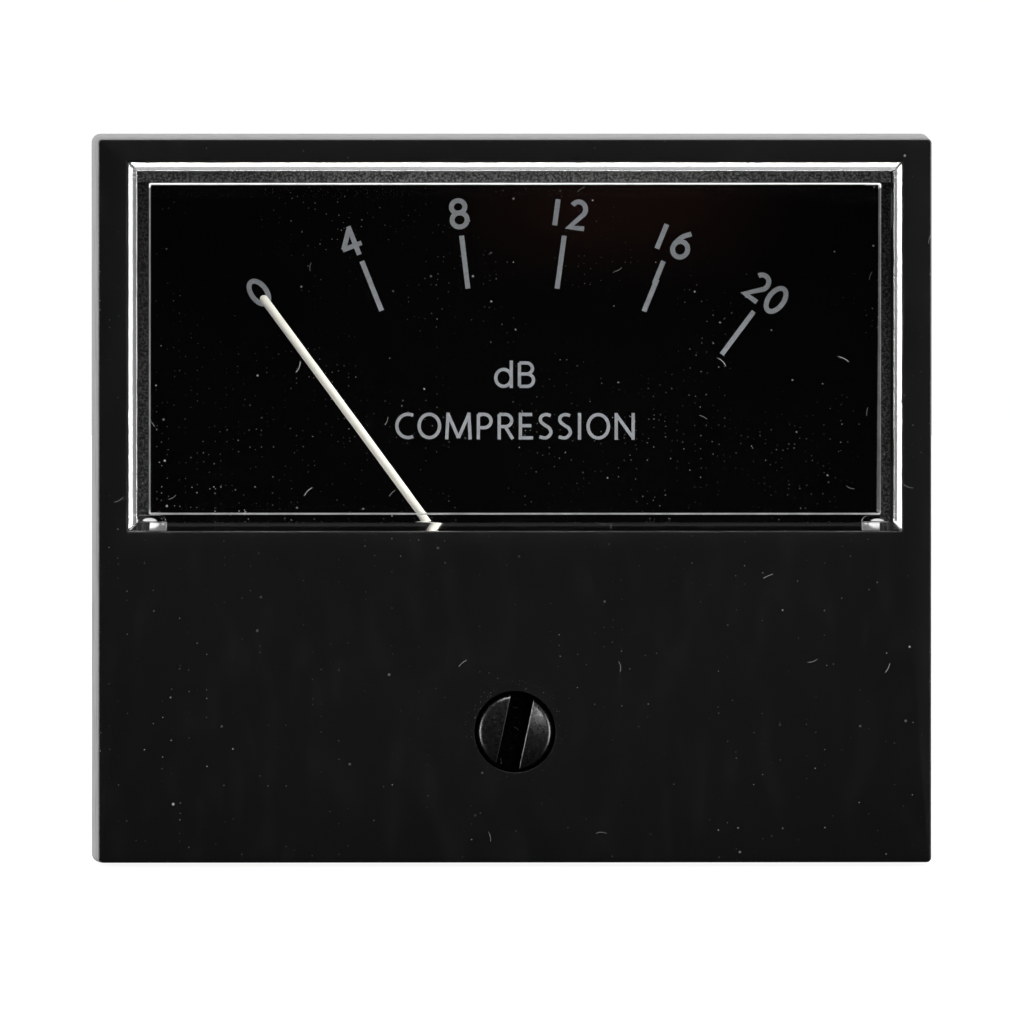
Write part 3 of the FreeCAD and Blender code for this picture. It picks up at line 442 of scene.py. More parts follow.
def threaded(profile, start, pitch, depth, x=0.0, z=0.0, around=48, hand=1):
    """A solid turned from (radius, y) points, with a screw thread from start to its far end."""
    rows = []
    for (r0, y0), (r1, y1) in zip(profile, profile[1:]):
        length = abs(y1 - y0)
        cuts = max(1, round(length / pitch * 8)) if hand * (y0 - start) > -1e-6 else 1
        rows += [(r0 + (r1 - r0) * i / cuts, y0 + (y1 - y0) * i / cuts) for i in range(cuts)]
    rows.append(profile[-1])
    major = max(r for r, y in profile if hand * (y - start) > -1e-6)
    rings = []
    for r, y in rows:
        along = hand * (y - start)
        ring = []
        for i in range(around):
            a = 2 * math.pi * i / around
            radius = r
            if along > 0:
                phase = (along / pitch - i / around) % 1.0
                groove = min(1.0, max(0.0, (0.85 - abs(2 * phase - 1)) / 0.7))
                radius = min(r, major - depth * groove * min(1.0, along / pitch))
            ring.append((x + radius * math.sin(a), y, z + radius * math.cos(a)))
        rings.append(ring)
    return loft(rings)


def hexagon(flats, y0, y1, x, z):
    """A sharp-edged hexagonal prism, given its size across the flats."""
    corner = flats / math.sqrt(3)
    return prism(arc(x, z, corner, corner, 0, 300, 5), y0, y1)


def hex_nut(flats, bore_r, y0, y1, x=0.0, z=0.0):
    """A hexagon nut, its corners turned off and its bore countersunk on both faces."""
    corner = flats / math.sqrt(3)
    body = hexagon(flats, y0, y1, x, z)
    chamfer = (corner - flats / 2) * 0.62
    shoulder = 0.94 * flats / 2
    turned_off = lathe([(0, y0), (shoulder, y0), (corner, y0 + chamfer), (corner + 0.01, y1 - chamfer),
                        (shoulder, y1), (0, y1)], x, z, 72)
    body = combine(body, turned_off, "INTERSECT")
    sink = 0.18
    bore = lathe([(0, y0 - 1), (bore_r + sink + 1, y0 - 1), (bore_r, y0 + sink), (bore_r, y1 - sink),
                  (bore_r + sink + 1, y1 + 1), (0, y1 + 1)], x, z, 72)
    return cut(body, bore)


# ---------------------------------------------------------------- material helpers

class Nodes:
    """A node tree and short ways to fill it. A value is another node's output or a constant."""

    def __init__(self, tree):
        self.tree = tree
        tree.nodes.clear()

    def feed(self, socket, value):
        if isinstance(value, bpy.types.NodeSocket):
            self.tree.links.new(value, socket)
        elif value is not None:
            socket.default_value = value

    def add(self, kind, *values, **settings):
        """A node with these settings, its inputs fed in order; None leaves an input as it is."""
        made = self.tree.nodes.new("ShaderNode" + kind)
        for key, value in settings.items():
            setattr(made, key, value)
        for socket, value in zip(made.inputs, values):
            self.feed(socket, value)
        return made

    def fill(self, made, **values):
        """Feed a node's inputs by name, and give its first output."""
        for name, value in values.items():
            self.feed(made.inputs[name.replace("_", " ")], value)
        return made.outputs[0]

    def math(self, operation, a, b=0.0, clamp=False):
        return self.add("Math", a, b, operation=operation, use_clamp=clamp).outputs[0]

    def times(self, *values):
        return reduce(lambda a, b: self.math("MULTIPLY", a, b), values)

    def plus(self, a, b, clamp=False):
        return self.math("ADD", a, b, clamp)

    def minus(self, a, b, clamp=False):
        return self.math("SUBTRACT", a, b, clamp)

    def most(self, *values):
        return reduce(lambda a, b: self.math("MAXIMUM", a, b), values)

    def size(self, value):
        return self.math("ABSOLUTE", value)

    def ramp(self, value, low, high, out_low=0.0, out_high=1.0):
        """A smooth step from out_low at low to out_high at high."""
        return self.add("MapRange", value, low, high, out_low, out_high, clamp=True,
                        interpolation_type="SMOOTHSTEP").outputs[0]

    def split(self, vector):
        """The x, y and z of a vector."""
        return tuple(self.add("SeparateXYZ", vector).outputs)


class Shader(Nodes):
    """A material in object space, with coordinates in millimetres."""

    def __init__(self, name):
        self.material = bpy.data.materials.new(name)
        self.material.use_nodes = True
        super().__init__(self.material.node_tree)
        here = self.add("TexCoord").outputs
        self.place = self.fill(self.add("VectorMath", here["Object"], operation="SCALE"), Scale=1 / MM)
        self.normal = here["Normal"]

    def noise(self, size, detail=2.0, place=None, roughness=0.5):
        """Noise from 0 to 1 whose features are about size millimetres across."""
        return self.fill(self.add("TexNoise"), Vector=place or self.place, Scale=1 / size,
                         Detail=detail, Roughness=roughness, Distortion=0.0)

    def stretched(self, x, y, z):
        """Coordinates multiplied on each axis, for brushed and turned marks."""
        return self.add("VectorMath", self.place, (x, y, z), operation="MULTIPLY").outputs[0]

    def mix(self, fac, a, b):
        made = self.add("Mix", fac, data_type="RGBA")
        self.feed(made.inputs[6], a)
        self.feed(made.inputs[7], b)
        return made.outputs[2]

    def swing(self, middle, noise, width):
        """A value that swings by width about its middle as the noise goes from 0 to 1."""
        return self.plus(middle, self.times(self.minus(noise, 0.5), width))

    def flat_cells(self, cell):
        """Random cells on the X-Z plane: their texture, three random numbers, the point's (x, z)."""
        x, _, z = self.split(self.place)
        flat = self.add("CombineXYZ", x, z).outputs[0]
        cells = self.add("TexVoronoi", feature="F1", voronoi_dimensions="2D")
        self.fill(cells, Vector=flat, Scale=1 / cell)
        return cells, self.add("SeparateColor", cells.outputs["Color"]).outputs, flat

    def specks(self, cell, size, amount):
        """Sparse round dust specks: a cell is millimetres across, amount is the share filled."""
        cells, chance, _ = self.flat_cells(cell)
        radius = self.times(self.ramp(chance[1], 0, 1, 0.35, 1.0), size / cell)
        inside = self.math("DIVIDE", cells.outputs["Distance"], radius)
        bright = self.ramp(chance[2], 0, 1, 0.25, 1.0)
        return self.times(self.ramp(inside, 1.0, 0.5), bright,
                          self.math("LESS_THAN", chance[0], amount))

    def fibres(self, cell, length, width, amount):
        """Sparse curved hairs lying on a face whose normal is along Y."""
        cells, chance, flat = self.flat_cells(cell)
        local = self.add("VectorMath", flat, cells.outputs["Position"], operation="SUBTRACT")
        spun = self.fill(self.add("VectorRotate", rotation_type="Z_AXIS"), Vector=local.outputs[0],
                         Angle=self.times(chance[0], 2 * math.pi))
        along, aside, _ = self.split(spun)
        bend = self.times(along, along, self.ramp(chance[2], 0, 1, -0.9, 0.9))
        line = self.ramp(self.size(self.minus(aside, bend)), width, width * 0.3)
        ends = self.ramp(self.size(along), length / 2, length / 2 * 0.7)
        return self.times(line, ends, self.math("LESS_THAN", chance[1], amount))

    def on_front(self, marks):
        """Keep marks off the faces that don't look forwards or back."""
        return self.times(marks, self.ramp(self.size(self.split(self.normal)[1]), 0.7, 0.9))

    def bump(self, height, depth):
        """A normal from a height of 0 to 1 that stands for depth millimetres."""
        return self.fill(self.add("Bump"), Strength=1.0, Distance=depth * MM, Height=height)

    def show(self, shader):
        """Make a shader the material's surface, and give the material."""
        self.add("OutputMaterial", shader)
        return self.material

    def surface(self, base, roughness, metallic=0.0, normal=None, **extra):
        return self.show(self.fill(self.add("BsdfPrincipled"), Base_Color=base, Roughness=roughness,
                                   Metallic=metallic, Normal=normal, **extra))

    def clear_to_light(self, seen, tint=None):
        """Show a shader to the eye, and let the light on things behind it pass."""
        path = self.add("LightPath").outputs
        passing = self.most(path["Is Shadow Ray"], path["Is Diffuse Ray"])
        clear = self.fill(self.add("BsdfTransparent"), Color=tint)
        return self.show(self.add("MixShader", passing, seen, clear).outputs[0])


def rgb(r, g, b):
    return (r, g, b, 1.0)


def shade(colour, factor=1.0):
    """A colour with each of its parts multiplied."""
    return rgb(*(c * factor for c in colour))


def moulded_plastic(name, colour, roughness, dust, grain, shine, hole=None):
    """Black moulding: fine grain, uneven sheen, handling marks, dust and hairs, and more dust
    round a hole, which is its height and its radius."""
    s = Shader(name)
    tooth = s.noise(0.035, 2)
    base = s.mix(s.noise(6.0, 3), shade(colour, 0.75), shade(colour, 1.3))
    rub = s.ramp(s.noise(1.1, 4, s.stretched(1, 1, 0.35), 0.6), 0.45, 0.75)
    gloss = s.swing(s.swing(roughness, rub, 0.09), tooth, 0.12)
    marks = s.most(s.specks(0.45, 0.04, dust * 1.6), s.specks(2.2, 0.085, dust * 3),
                   s.fibres(4.4, 0.6, 0.022, dust * 2))
    marks = s.times(marks, s.ramp(s.noise(7.0, 2), 0.35, 0.65, 0.25, 1.0))
    if hole:
        centre, near = hole
        x, _, z = s.split(s.place)
        up = s.minus(z, centre)
        away = s.math("SQRT", s.plus(s.times(x, x), s.times(up, up)))
        marks = s.most(marks, s.times(s.specks(0.16, 0.028, 0.5), s.ramp(away, near * 1.45, near),
                                      s.ramp(z, centre - near, centre + near, 0.1, 0.8)))
    marks = s.on_front(marks)
    return s.surface(s.mix(marks, base, rgb(0.3, 0.3, 0.3)),
                     s.plus(gloss, s.times(marks, 0.4), clamp=True),
                     normal=s.bump(tooth, grain), Specular_IOR_Level=shine)


def bright_metal(name, colour, roughness, tarnish, direction):
    """Bright metal with fine tool marks along one direction, tarnish and grime."""
    s = Shader(name)
    marks = s.noise(0.12, 3, s.stretched(*direction), 0.6)
    cloud = s.ramp(s.noise(1.4, 4, roughness=0.6), 0.35, 0.75)
    grime = s.ramp(s.noise(0.45, 5, roughness=0.65), 0.58, 0.82)
    base = s.mix(s.times(cloud, 0.7), shade(colour), shade(tarnish))
    base = s.mix(s.times(grime, 0.5), base, shade(tarnish, 0.3))
    gloss = s.plus(s.plus(roughness, s.times(marks, 0.16)), s.times(grime, 0.25), clamp=True)
    return s.surface(base, gloss, metallic=1.0, normal=s.bump(marks, 0.002))


def painted(name, colour, roughness, variation):
    """A thin coat of paint: slight orange peel, a little variation of shade, soft sheen."""
    s = Shader(name)
    cloud = s.noise(0.8, 3)
    base = s.mix(cloud, shade(colour, 1 - variation), shade(colour, 1 + variation))
    return s.surface(base, s.swing(roughness, cloud, 0.15), normal=s.bump(s.noise(0.09, 3), 0.002))


def rubbed_and_highlit_nylon(name):
    """Black, with the slot's edges pale, partly rubbed by the screwdriver and partly a painted highlight that
    is brighter on the right edge, dust caught in the slot, and painted shade deep in it.
    """
    s = Shader(name)
    spun = s.fill(s.add("VectorRotate", rotation_type="Y_AXIS"), Vector=s.place,
                  Center=(0, 0, ADJUSTER.z), Angle=-math.radians(SLOT_ANGLE))
    across, deep, _ = s.split(spun)
    # Pale slot edges: screwdriver wear together with a painted highlight, brighter on the right edge.
    edge = s.ramp(s.size(s.minus(s.size(across), SLOT_HALF_W)), 0.05, 0.02)
    rub_and_highlight = s.times(edge, s.ramp(across, -0.2, 0.2, 0.12, 1.0),
                   s.ramp(s.noise(0.16, 4, roughness=0.7), 0.3, 0.6, 0.25, 1.0),
                   s.ramp(deep, FACE_Y + 0.25, FACE_Y + 0.15))
    dust = s.most(s.specks(0.22, 0.03, 0.3), s.fibres(0.9, 0.35, 0.02, 0.3))
    base = s.mix(s.noise(0.8, 3), rgb(0.0018, 0.0018, 0.0019), rgb(0.005, 0.0048, 0.0046))
    # Painted shade in the recess: deeper than 0.2 to 0.35 mm into the slot the colour goes near black, and
    # the specular level falls the same way.
    base = s.mix(s.ramp(deep, FACE_Y + 0.2, FACE_Y + 0.35), base, rgb(0.0006, 0.0006, 0.0006))
    base = s.mix(s.times(s.on_front(dust), 0.35), base, rgb(0.3, 0.3, 0.3))
    base = s.mix(s.times(rub_and_highlight, 0.55), base, rgb(0.4, 0.4, 0.42))
    gloss = s.plus(0.26, s.times(s.ramp(s.noise(0.2, 5, roughness=0.7), 0.4, 0.7), 0.12))
    return s.surface(base, s.plus(gloss, s.times(rub_and_highlight, 0.3)), normal=s.bump(s.noise(0.03, 2), 0.001),
                     Specular_IOR_Level=s.ramp(deep, FACE_Y + 0.2, FACE_Y + 0.35, 0.45, 0.05))


def matt_black(name):
    """The coat on the scale plate: dusty, with crumbs where the lens's wall meets it, and a
    painted faint red reflection on the right of its upper half."""
    s = Shader(name)
    x, _, z = s.split(s.place)
    tooth = s.noise(0.05, 3)
    base = s.mix(s.noise(5.0, 3), rgb(0.0004, 0.0004, 0.0004), rgb(0.0011, 0.001, 0.001))
    # Painted reflection: a faint red tint on the right of the upper half.
    painted_red_reflection = s.times(s.ramp(z, 10.0, 16.0), s.ramp(s.size(s.minus(x, 5.5)), 11.0, 1.0))
    base = s.mix(painted_red_reflection, base, rgb(0.011, 0.005, 0.004))
    lower_left = s.times(s.ramp(x, -4.0, -15.0), s.ramp(z, 8.0, 0.0))
    patch = s.most(s.ramp(s.noise(5.5, 2), 0.45, 0.65), lower_left)
    marks = s.most(s.times(s.specks(0.3, 0.034, 0.3), patch, 0.8), s.specks(2.3, 0.07, 0.35),
                   s.times(s.fibres(3.8, 0.5, 0.02, 0.22), 0.45))
    wall_x, wall_z = LENS_HALF_W - LENS_WALL, LENS_TOP - LENS_WALL
    sides = s.ramp(s.size(x), wall_x - 0.02, wall_x + 0.03)
    seam = s.most(s.times(sides, 0.13), s.ramp(z, wall_z - 0.02, wall_z + 0.03))
    crumbs = s.ramp(s.noise(0.12, 4, roughness=0.7), 0.42, 0.66)
    marks = s.most(marks, s.times(seam, s.plus(s.times(crumbs, 0.85), 0.15)))
    return s.surface(s.mix(marks, base, rgb(0.7, 0.69, 0.68)), s.plus(0.6, s.times(tooth, 0.2)),
                     normal=s.bump(tooth, 0.002), Specular_IOR_Level=0.01)


def screen_ink(name):
    """Screen-printed grey ink with slightly uneven density."""
    s = Shader(name)
    density = s.noise(0.22, 4, roughness=0.65)
    base = s.mix(s.ramp(density, 0.3, 0.75), rgb(0.285, 0.289, 0.308), rgb(0.37, 0.375, 0.395))
    return s.surface(base, 0.6, normal=s.bump(density, 0.002))


def clear_acrylic(name):
    """Clear acrylic that lets light through to the scale, with faint wipe marks and dust."""
    s = Shader(name)
    wipe = s.ramp(s.noise(0.5, 5, s.stretched(0.25, 1, 1), 0.65), 0.5, 0.8)
    glass = s.fill(s.add("BsdfGlass"), IOR=ACRYLIC_IOR, Color=rgb(0.992, 0.996, 0.996),
                   Roughness=s.times(wipe, 0.012), Normal=s.bump(s.noise(1.5, 2), 0.0003))
    dust = s.fill(s.add("BsdfDiffuse"), Color=rgb(0.5, 0.5, 0.5))
    marks = s.most(s.specks(1.3, 0.05, 0.07), s.fibres(6.5, 0.7, 0.02, 0.12))
    seen = s.add("MixShader", s.times(marks, 0.5), glass, dust).outputs[0]
    return s.clear_to_light(seen, rgb(0.94, 0.95, 0.95))


def acrylic_wall(name):
    """The lens's inner edges: moulded, slightly matt, with a painted glow of emission standing for light
    carried in from above and beside.
    The two feet at the bottom glow dimmer, with a painted highlight on each."""
    s = Shader(name)
    x, y, z = s.split(s.place)
    wall_x, upper, sill = LENS_HALF_W - LENS_WALL, LENS_TOP - LENS_WALL, LENS_BOTTOM + LENS_SILL
    # Painted glow, strongest at the top: an emission strength set for each side of the window.
    sides = s.most(s.ramp(x, 0.3 - wall_x, 0.2 - wall_x, 0.0, EDGE_GLOW["left"]),
                   s.ramp(x, wall_x - 0.3, wall_x - 0.2, 0.0, EDGE_GLOW["right"]))
    ends = s.most(s.ramp(z, upper - 0.3, upper - 0.2, 0.0, EDGE_GLOW["top"]),
                  s.ramp(z, sill + 0.3, sill + 0.2, 0.0, EDGE_GLOW["bottom"]))
    wall_y = LENS_FRONT + LENS_THICK + LENS_FILLET
    hidden = s.times(s.ramp(y, wall_y, wall_y + 0.02), s.add("NewGeometry").outputs["Backfacing"])
    glow = s.times(s.most(sides, ends), s.minus(1.0, hidden))

    lip_back = FACE_BACK + LENS_LIP
    on_foot = s.times(s.ramp(y, lip_back - 0.05, lip_back + 0.02), s.ramp(z, sill - 0.03, sill - 0.06))
    reach = s.math("DIVIDE", s.minus(s.size(x), FOOT_HIGHLIGHT_X), 0.4)
    rise = s.math("DIVIDE", s.minus(z, FOOT_HIGHLIGHT_Z), 0.2)
    spread = s.plus(s.times(reach, reach), s.times(rise, rise))
    at_back = s.ramp(y, LENS_BACK - 0.03, LENS_BACK - 0.01)
    # Painted highlight: a bright oval of emission on the back face of each foot.
    mark = s.times(s.ramp(spread, 1.2, 0.4, 0.0, EDGE_GLOW["mark"]), at_back)
    foot_glow = s.minus(s.times(s.most(EDGE_GLOW["foot"], mark), on_foot),
                        s.times(at_back, EDGE_GLOW["foot"]), clamp=True)
    glow = s.add("Mix", on_foot, None, glow, foot_glow, data_type="FLOAT").outputs[0]

    flow = s.ramp(s.noise(0.8, 4, s.stretched(1, 0.2, 1), 0.6), 0.25, 0.75, 0.7, 1.15)
    light = s.fill(s.add("Emission"), Strength=s.times(glow, flow))
    wall = s.fill(s.add("BsdfGlass"), IOR=ACRYLIC_IOR, Roughness=0.08)
    return s.clear_to_light(s.add("AddShader", wall, light).outputs[0])


def varnished_copper(name):
    """Enamelled wire: copper under clear varnish, darker between the turns."""
    s = Shader(name)
    cloud = s.noise(0.7, 4)
    base = s.mix(cloud, rgb(0.36, 0.12, 0.035), rgb(0.55, 0.23, 0.08))
    return s.surface(base, s.plus(0.22, s.times(cloud, 0.15)), metallic=0.9,
                     normal=s.bump(s.noise(0.1, 3), 0.003), Coat_Weight=0.6, Coat_Roughness=0.15)


def sapphire(name):
    """Clear red bearing stone with a polished cup."""
    s = Shader(name)
    base = s.mix(s.noise(0.4, 3), rgb(0.62, 0.02, 0.07), rgb(0.8, 0.06, 0.14))
    return s.surface(base, s.times(s.noise(0.2, 2), 0.12), Transmission_Weight=0.75, IOR=1.76)


def fibre_board(name):
    """Red vulcanised fibre: pressed layers with a dull, slightly hairy face."""
    s = Shader(name)
    layers = s.noise(0.06, 4, s.stretched(0.3, 3, 0.3), 0.7)
    base = s.mix(layers, rgb(0.16, 0.018, 0.012), rgb(0.34, 0.05, 0.03))
    return s.surface(base, s.plus(0.55, s.times(layers, 0.25)), normal=s.bump(layers, 0.01))


def soft_coat(name, colour, roughness, grain):
    """Wire insulation or rubber: even colour, faint drawn lines and rubbed patches."""
    s = Shader(name)
    rub = s.ramp(s.noise(0.9, 4), 0.4, 0.75)
    base = s.mix(rub, shade(colour, 0.8), shade(colour, 1.15))
    lines = s.noise(0.05, 2, s.stretched(1, 0.2, 1))
    return s.surface(base, s.plus(roughness, s.times(rub, 0.15)), normal=s.bump(lines, grain))


# How each slot's material is made, with what its function takes after the name. For a metal
# that is its colour, roughness, tarnish and the direction of its tool marks.
MATERIALS = {
    "zinc_steel": (bright_metal, (0.305, 0.315, 0.325), 0.34, (0.172, 0.18, 0.164), (1, 4, 1)),
    "nickel_brass": (bright_metal, (0.354, 0.34, 0.3), 0.30, (0.205, 0.184, 0.136), (1, 4, 1)),
    "tinned_brass": (bright_metal, (0.325, 0.325, 0.31), 0.42, (0.189, 0.184, 0.164), (0.4, 1, 2)),
    "spring_steel": (bright_metal, (0.295, 0.303, 0.32), 0.36, (0.164, 0.156, 0.148), (1, 1, 3)),
    "spring_brass": (bright_metal, (0.64, 0.492, 0.221), 0.36, (0.41, 0.271, 0.098), (0.4, 1, 2)),
    "alnico": (bright_metal, (0.328, 0.32, 0.303), 0.52, (0.18, 0.156, 0.131), (1, 1, 1)),
    "soft_iron": (bright_metal, (0.344, 0.344, 0.344), 0.44, (0.197, 0.164, 0.139), (1, 5, 1)),
    "die_cast": (bright_metal, (0.41, 0.41, 0.418), 0.48, (0.295, 0.295, 0.287), (1, 1, 1)),
    "bridge_brass": (bright_metal, (0.656, 0.508, 0.246), 0.33, (0.426, 0.295, 0.115), (0.3, 1, 3)),
    "screw_brass": (bright_metal, (0.631, 0.484, 0.23), 0.31, (0.41, 0.279, 0.107), (1, 5, 1)),
    "former_aluminium": (bright_metal, (0.631, 0.64, 0.648), 0.38, (0.476, 0.484, 0.492), (0.4, 1, 3)),
    "pivot_steel": (bright_metal, (0.459, 0.467, 0.484), 0.18, (0.344, 0.344, 0.344), (1, 6, 1)),
    "spring_bronze": (bright_metal, (0.574, 0.353, 0.164), 0.32, (0.361, 0.197, 0.082), (1, 1, 1)),
    "cover_abs": (moulded_plastic, (0.003, 0.0031, 0.0032), 0.42, 0.08, 0.0015, 0.16,
                  (ADJUSTER.z, 2.1)),
    "case_phenolic": (moulded_plastic, (0.012, 0.0115, 0.011), 0.44, 0.03, 0.003, 0.5),
    "adjuster_nylon": (rubbed_and_highlit_nylon,),
    "clear_acrylic": (clear_acrylic,),
    "acrylic_wall": (acrylic_wall,),
    "scale_black": (matt_black,),
    "print_grey": (screen_ink,),
    "pointer_paint": (painted, (0.78, 0.74, 0.655), 0.42, 0.06),
    "enamelled_copper": (varnished_copper,),
    "jewel": (sapphire,),
    "red_fibre": (fibre_board,),
    "stop_rubber": (soft_coat, (0.02, 0.02, 0.021), 0.7, 0.004),
    "red_pvc": (soft_coat, (0.38, 0.012, 0.01), 0.38, 0.002),
    "black_pvc": (soft_coat, (0.012, 0.012, 0.013), 0.38, 0.002),
}
made_materials = {}


def material(slot):
    """The one material of a slot, made the first time it is asked for."""
    if slot not in made_materials:
        make, *details = MATERIALS[slot]
        made_materials[slot] = make(slot, *details)
    return made_materials[slot]


SLOT_OF = {part["node"]: part["material_slot"] for part in frame["record"]["subparts"]}
BODY_OF = {node: body for body, nodes in frame["record"]["behaviour"]["bodies"].items()
           for node in nodes}


def stand_in(name, bm, node, sharp=32):
    """A finer mesh of one CAD node, on its body and in its material."""
    return piece(name, bm, BODY_OF[node], material(SLOT_OF[node]), node, sharp=sharp)


def dress(node):
    """Keep a CAD node's own mesh and give it the material of its slot."""
    slots = frame["nodes"][node].data.materials
    slots.clear()
    slots.append(material(SLOT_OF[node]))


# ---------------------------------------------------------------- case

def front_cover():
    """Cover: one skin round the outside, the face, the window and the inside, then its fixings."""
    rings = []
    for a in quarter(5):
        inset = COVER_RIM_R * (1 - math.sin(a))
        rings.append(rect_ring(RIM_HALF_W - inset, -RIM_HALF_H + inset, RIM_HALF_H - inset,
                               COVER_CORNER_R - inset, -COVER_RIM_R * (1 - math.cos(a))))
    for a in quarter(5):
        inset = COVER_EDGE_R * (1 - math.cos(a))
        rings.append(rect_ring(FACE_HALF_W - inset, -FACE_HALF_H + inset, FACE_HALF_H - inset,
                               FACE_CORNER_R - inset, FACE_Y + COVER_EDGE_R * (1 - math.sin(a))))
    for out, deep in ((1.0, 0.0), (0.93, 0.07), (0.0, 1.0), (0.0, 1.4)):
        grow = WINDOW_CHAMFER * out
        rings.append(rect_ring(WINDOW_HALF_W + grow, WINDOW_LOW - grow, WINDOW_HIGH + grow,
                               WINDOW_CORNER_R, FACE_Y + WINDOW_CHAMFER * deep))
    rings.append(rect_ring(WINDOW_HALF_W, WINDOW_LOW, WINDOW_HIGH, WINDOW_CORNER_R, FACE_BACK))
    for y in (FACE_BACK, 0.0):
        grow = (y - FACE_Y) * DRAFT - COVER_WALL
        rings.append(rect_ring(FACE_HALF_W + grow, -FACE_HALF_H - grow, FACE_HALF_H + grow,
                               COVER_INNER_R, y))
    body = loft(rings, closed=True)

    start, end = FACE_BACK - ROOT, ADJUSTER_BOSS_END
    screw_low, screw_high = span("cover_screws")
    post_x, post_z = screw_high.x - SCREW_HEAD_R, (screw_low.z + screw_high.z) / 2
    body = fuse(body, lathe([(0, start), (ADJUSTER_BOSS_R, start), (ADJUSTER_BOSS_R, end - 0.15),
                             (ADJUSTER_BOSS_R - 0.15, end), (0, end)], ADJUSTER.x, ADJUSTER.z))
    for side in (1, -1):
        body = fuse(body, rod(POST_R, start, POST_END, side * post_x, post_z, 48))
        body = cut(body, rod(POST_DRILL_R, POST_DRILL_START, 1, side * post_x, post_z, 48))
    entry = 0.03
    hole = lathe([(0, FACE_Y - 1), (ADJUSTER_HOLE_R + entry + 1, FACE_Y - 1),
                  (ADJUSTER_HOLE_R + entry * 0.3, FACE_Y + entry * 0.7),
                  (ADJUSTER_HOLE_R, FACE_Y + entry * 1.6), (ADJUSTER_HOLE_R, ADJUSTER_SEAT),
                  (0, ADJUSTER_SEAT)], ADJUSTER.x, ADJUSTER.z, 128)
    shaft = rod(ADJUSTER_BORE_R, FACE_Y, -5, ADJUSTER.x, ADJUSTER.z, 64)
    return stand_in("front_cover_shell", cut(body, hole, shaft), "front_cover")


def lens_edge():
    """(inset, depth) points over the lens's edge: a bevel that is steep outside, eases, and then
    flattens into the front."""
    steps = 24
    points = [(0.0, LENS_BEVEL + 0.06), (0.008, LENS_BEVEL)]
    inset, back = points[-1]
    for i in range(steps):
        share = (i + 0.5) / steps
        slope = 54 - 17.5 * share if share < 0.8 else 40 - 200 * (share - 0.8)
        inset += LENS_BEVEL / steps
        back -= LENS_BEVEL / steps * math.tan(math.radians(slope))
        points.append((inset, back))
    stretch = LENS_BEVEL / (LENS_BEVEL - back)
    return points[:1] + [(a, (b - back) * stretch) for a, b in points[1:]]


def window_lens():
    """Clear window: bevelled raised front, hollow behind, lip, and two feet at the bottom."""
    half_w, low, high = LENS_HALF_W, LENS_BOTTOM, LENS_TOP
    sill = low + LENS_SILL
    rings = [rect_ring(half_w, low, high, LENS_CORNER_R, LENS_BACK)]
    for inset, back in lens_edge():
        rings.append(rect_ring(half_w - inset, low + inset, high - inset,
                               max(LENS_CORNER_R - inset * 0.3, 0.04), LENS_FRONT + back))
    body = loft(rings)

    inside = LENS_FRONT + LENS_THICK
    rings = []
    for a in quarter(4):
        inset = LENS_FILLET * (1 - math.sin(a))
        rings.append(rect_ring(half_w - LENS_WALL - inset, sill + inset, high - LENS_WALL - inset,
                               LENS_INNER_R, inside + LENS_FILLET * (1 - math.cos(a))))
    grow = (LENS_BACK - inside) * LENS_DRAFT
    open_w, open_low, open_high = half_w - LENS_WALL + grow, sill - grow, high - LENS_WALL + grow
    for y in (LENS_BACK, LENS_BACK + 1):
        rings.append(rect_ring(open_w, open_low, open_high, LENS_INNER_R, y))
    body = cut(body, loft(rings))

    lip_back = FACE_BACK + LENS_LIP
    body = cut(body, block(0.6 - half_w, half_w - 0.6, lip_back, LENS_BACK + 1, low - 1, sill + 0.1))
    foot_out, foot_in = half_w - 0.3, half_w - LENS_WALL / 2 - LENS_FOOT
    for side in (1, -1):
        outline = rect_ring((foot_out - foot_in) / 2, low + LENS_FOOT_LOW, sill - LENS_FOOT_LOW,
                            LENS_FOOT_R, 0, 10)
        middle = side * (foot_in + foot_out) / 2
        body = fuse(body, prism([(middle + x, z) for x, _, z in outline], lip_back - 0.2, LENS_BACK))
    rail = half_w - 0.4
    body = fuse(body, block(-rail, rail, FACE_BACK, lip_back, low - 1.7, low + 0.5))
    for side in (1, -1):
        x0, x1 = sorted((side * rail, side * (half_w + 0.28)))
        body = fuse(body, block(x0, x1, FACE_BACK, lip_back, low + 0.3, high - 0.8))

    lens = stand_in("window_lens_clear", body, "window_lens", sharp=20)
    lens.data.materials.append(material("acrylic_wall"))
    # The hollow's inner walls, their rounding and the feet take the second material and its painted glow.
    for face in lens.data.polygons:
        x, y, z = face.center / MM
        in_hollow = abs(x) < open_w + 0.02 and sill - 0.08 < z < open_high + 0.02
        rounded = inside + 0.005 < y < inside + LENS_FILLET + 0.005
        wall = inside < y < LENS_BACK - 0.01 and abs(face.normal.y) < 0.8
        foot = lip_back + 0.01 < y and z < sill - 0.05 and abs(x) < foot_out
        if in_hollow and (rounded or wall) or foot:
            face.material_index = 1
    return lens


# ---------------------------------------------------------------- print

def flowing(points, steps=6):
    """A smooth line through the points."""
    ends = [points[0]] + list(points) + [points[-1]]
    out = []
    for p0, p1, p2, p3 in zip(ends, ends[1:], ends[2:], ends[3:]):
        for i in range(steps):
            t = i / steps
            weights = (-t + 2 * t * t - t ** 3, 2 - 5 * t * t + 3 * t ** 3,
                       t + 4 * t * t - 3 * t ** 3, -t * t + t ** 3)
            out.append(tuple(0.5 * sum(w * p[k] for w, p in zip(weights, (p0, p1, p2, p3)))
                             for k in (0, 1)))
    out.append(tuple(points[-1]))
    return out


def bowl(left, right, low, high):
    """A bar, a half round and a bar back, as on the right of B, P and R."""
    mid, half = (low + high) / 2, (high - low) / 2
    round_x = right - half * 1.05
    return [(left, high)] + arc(round_x, mid, right - round_x, half, 90, -90, 14) + [(left, low)]


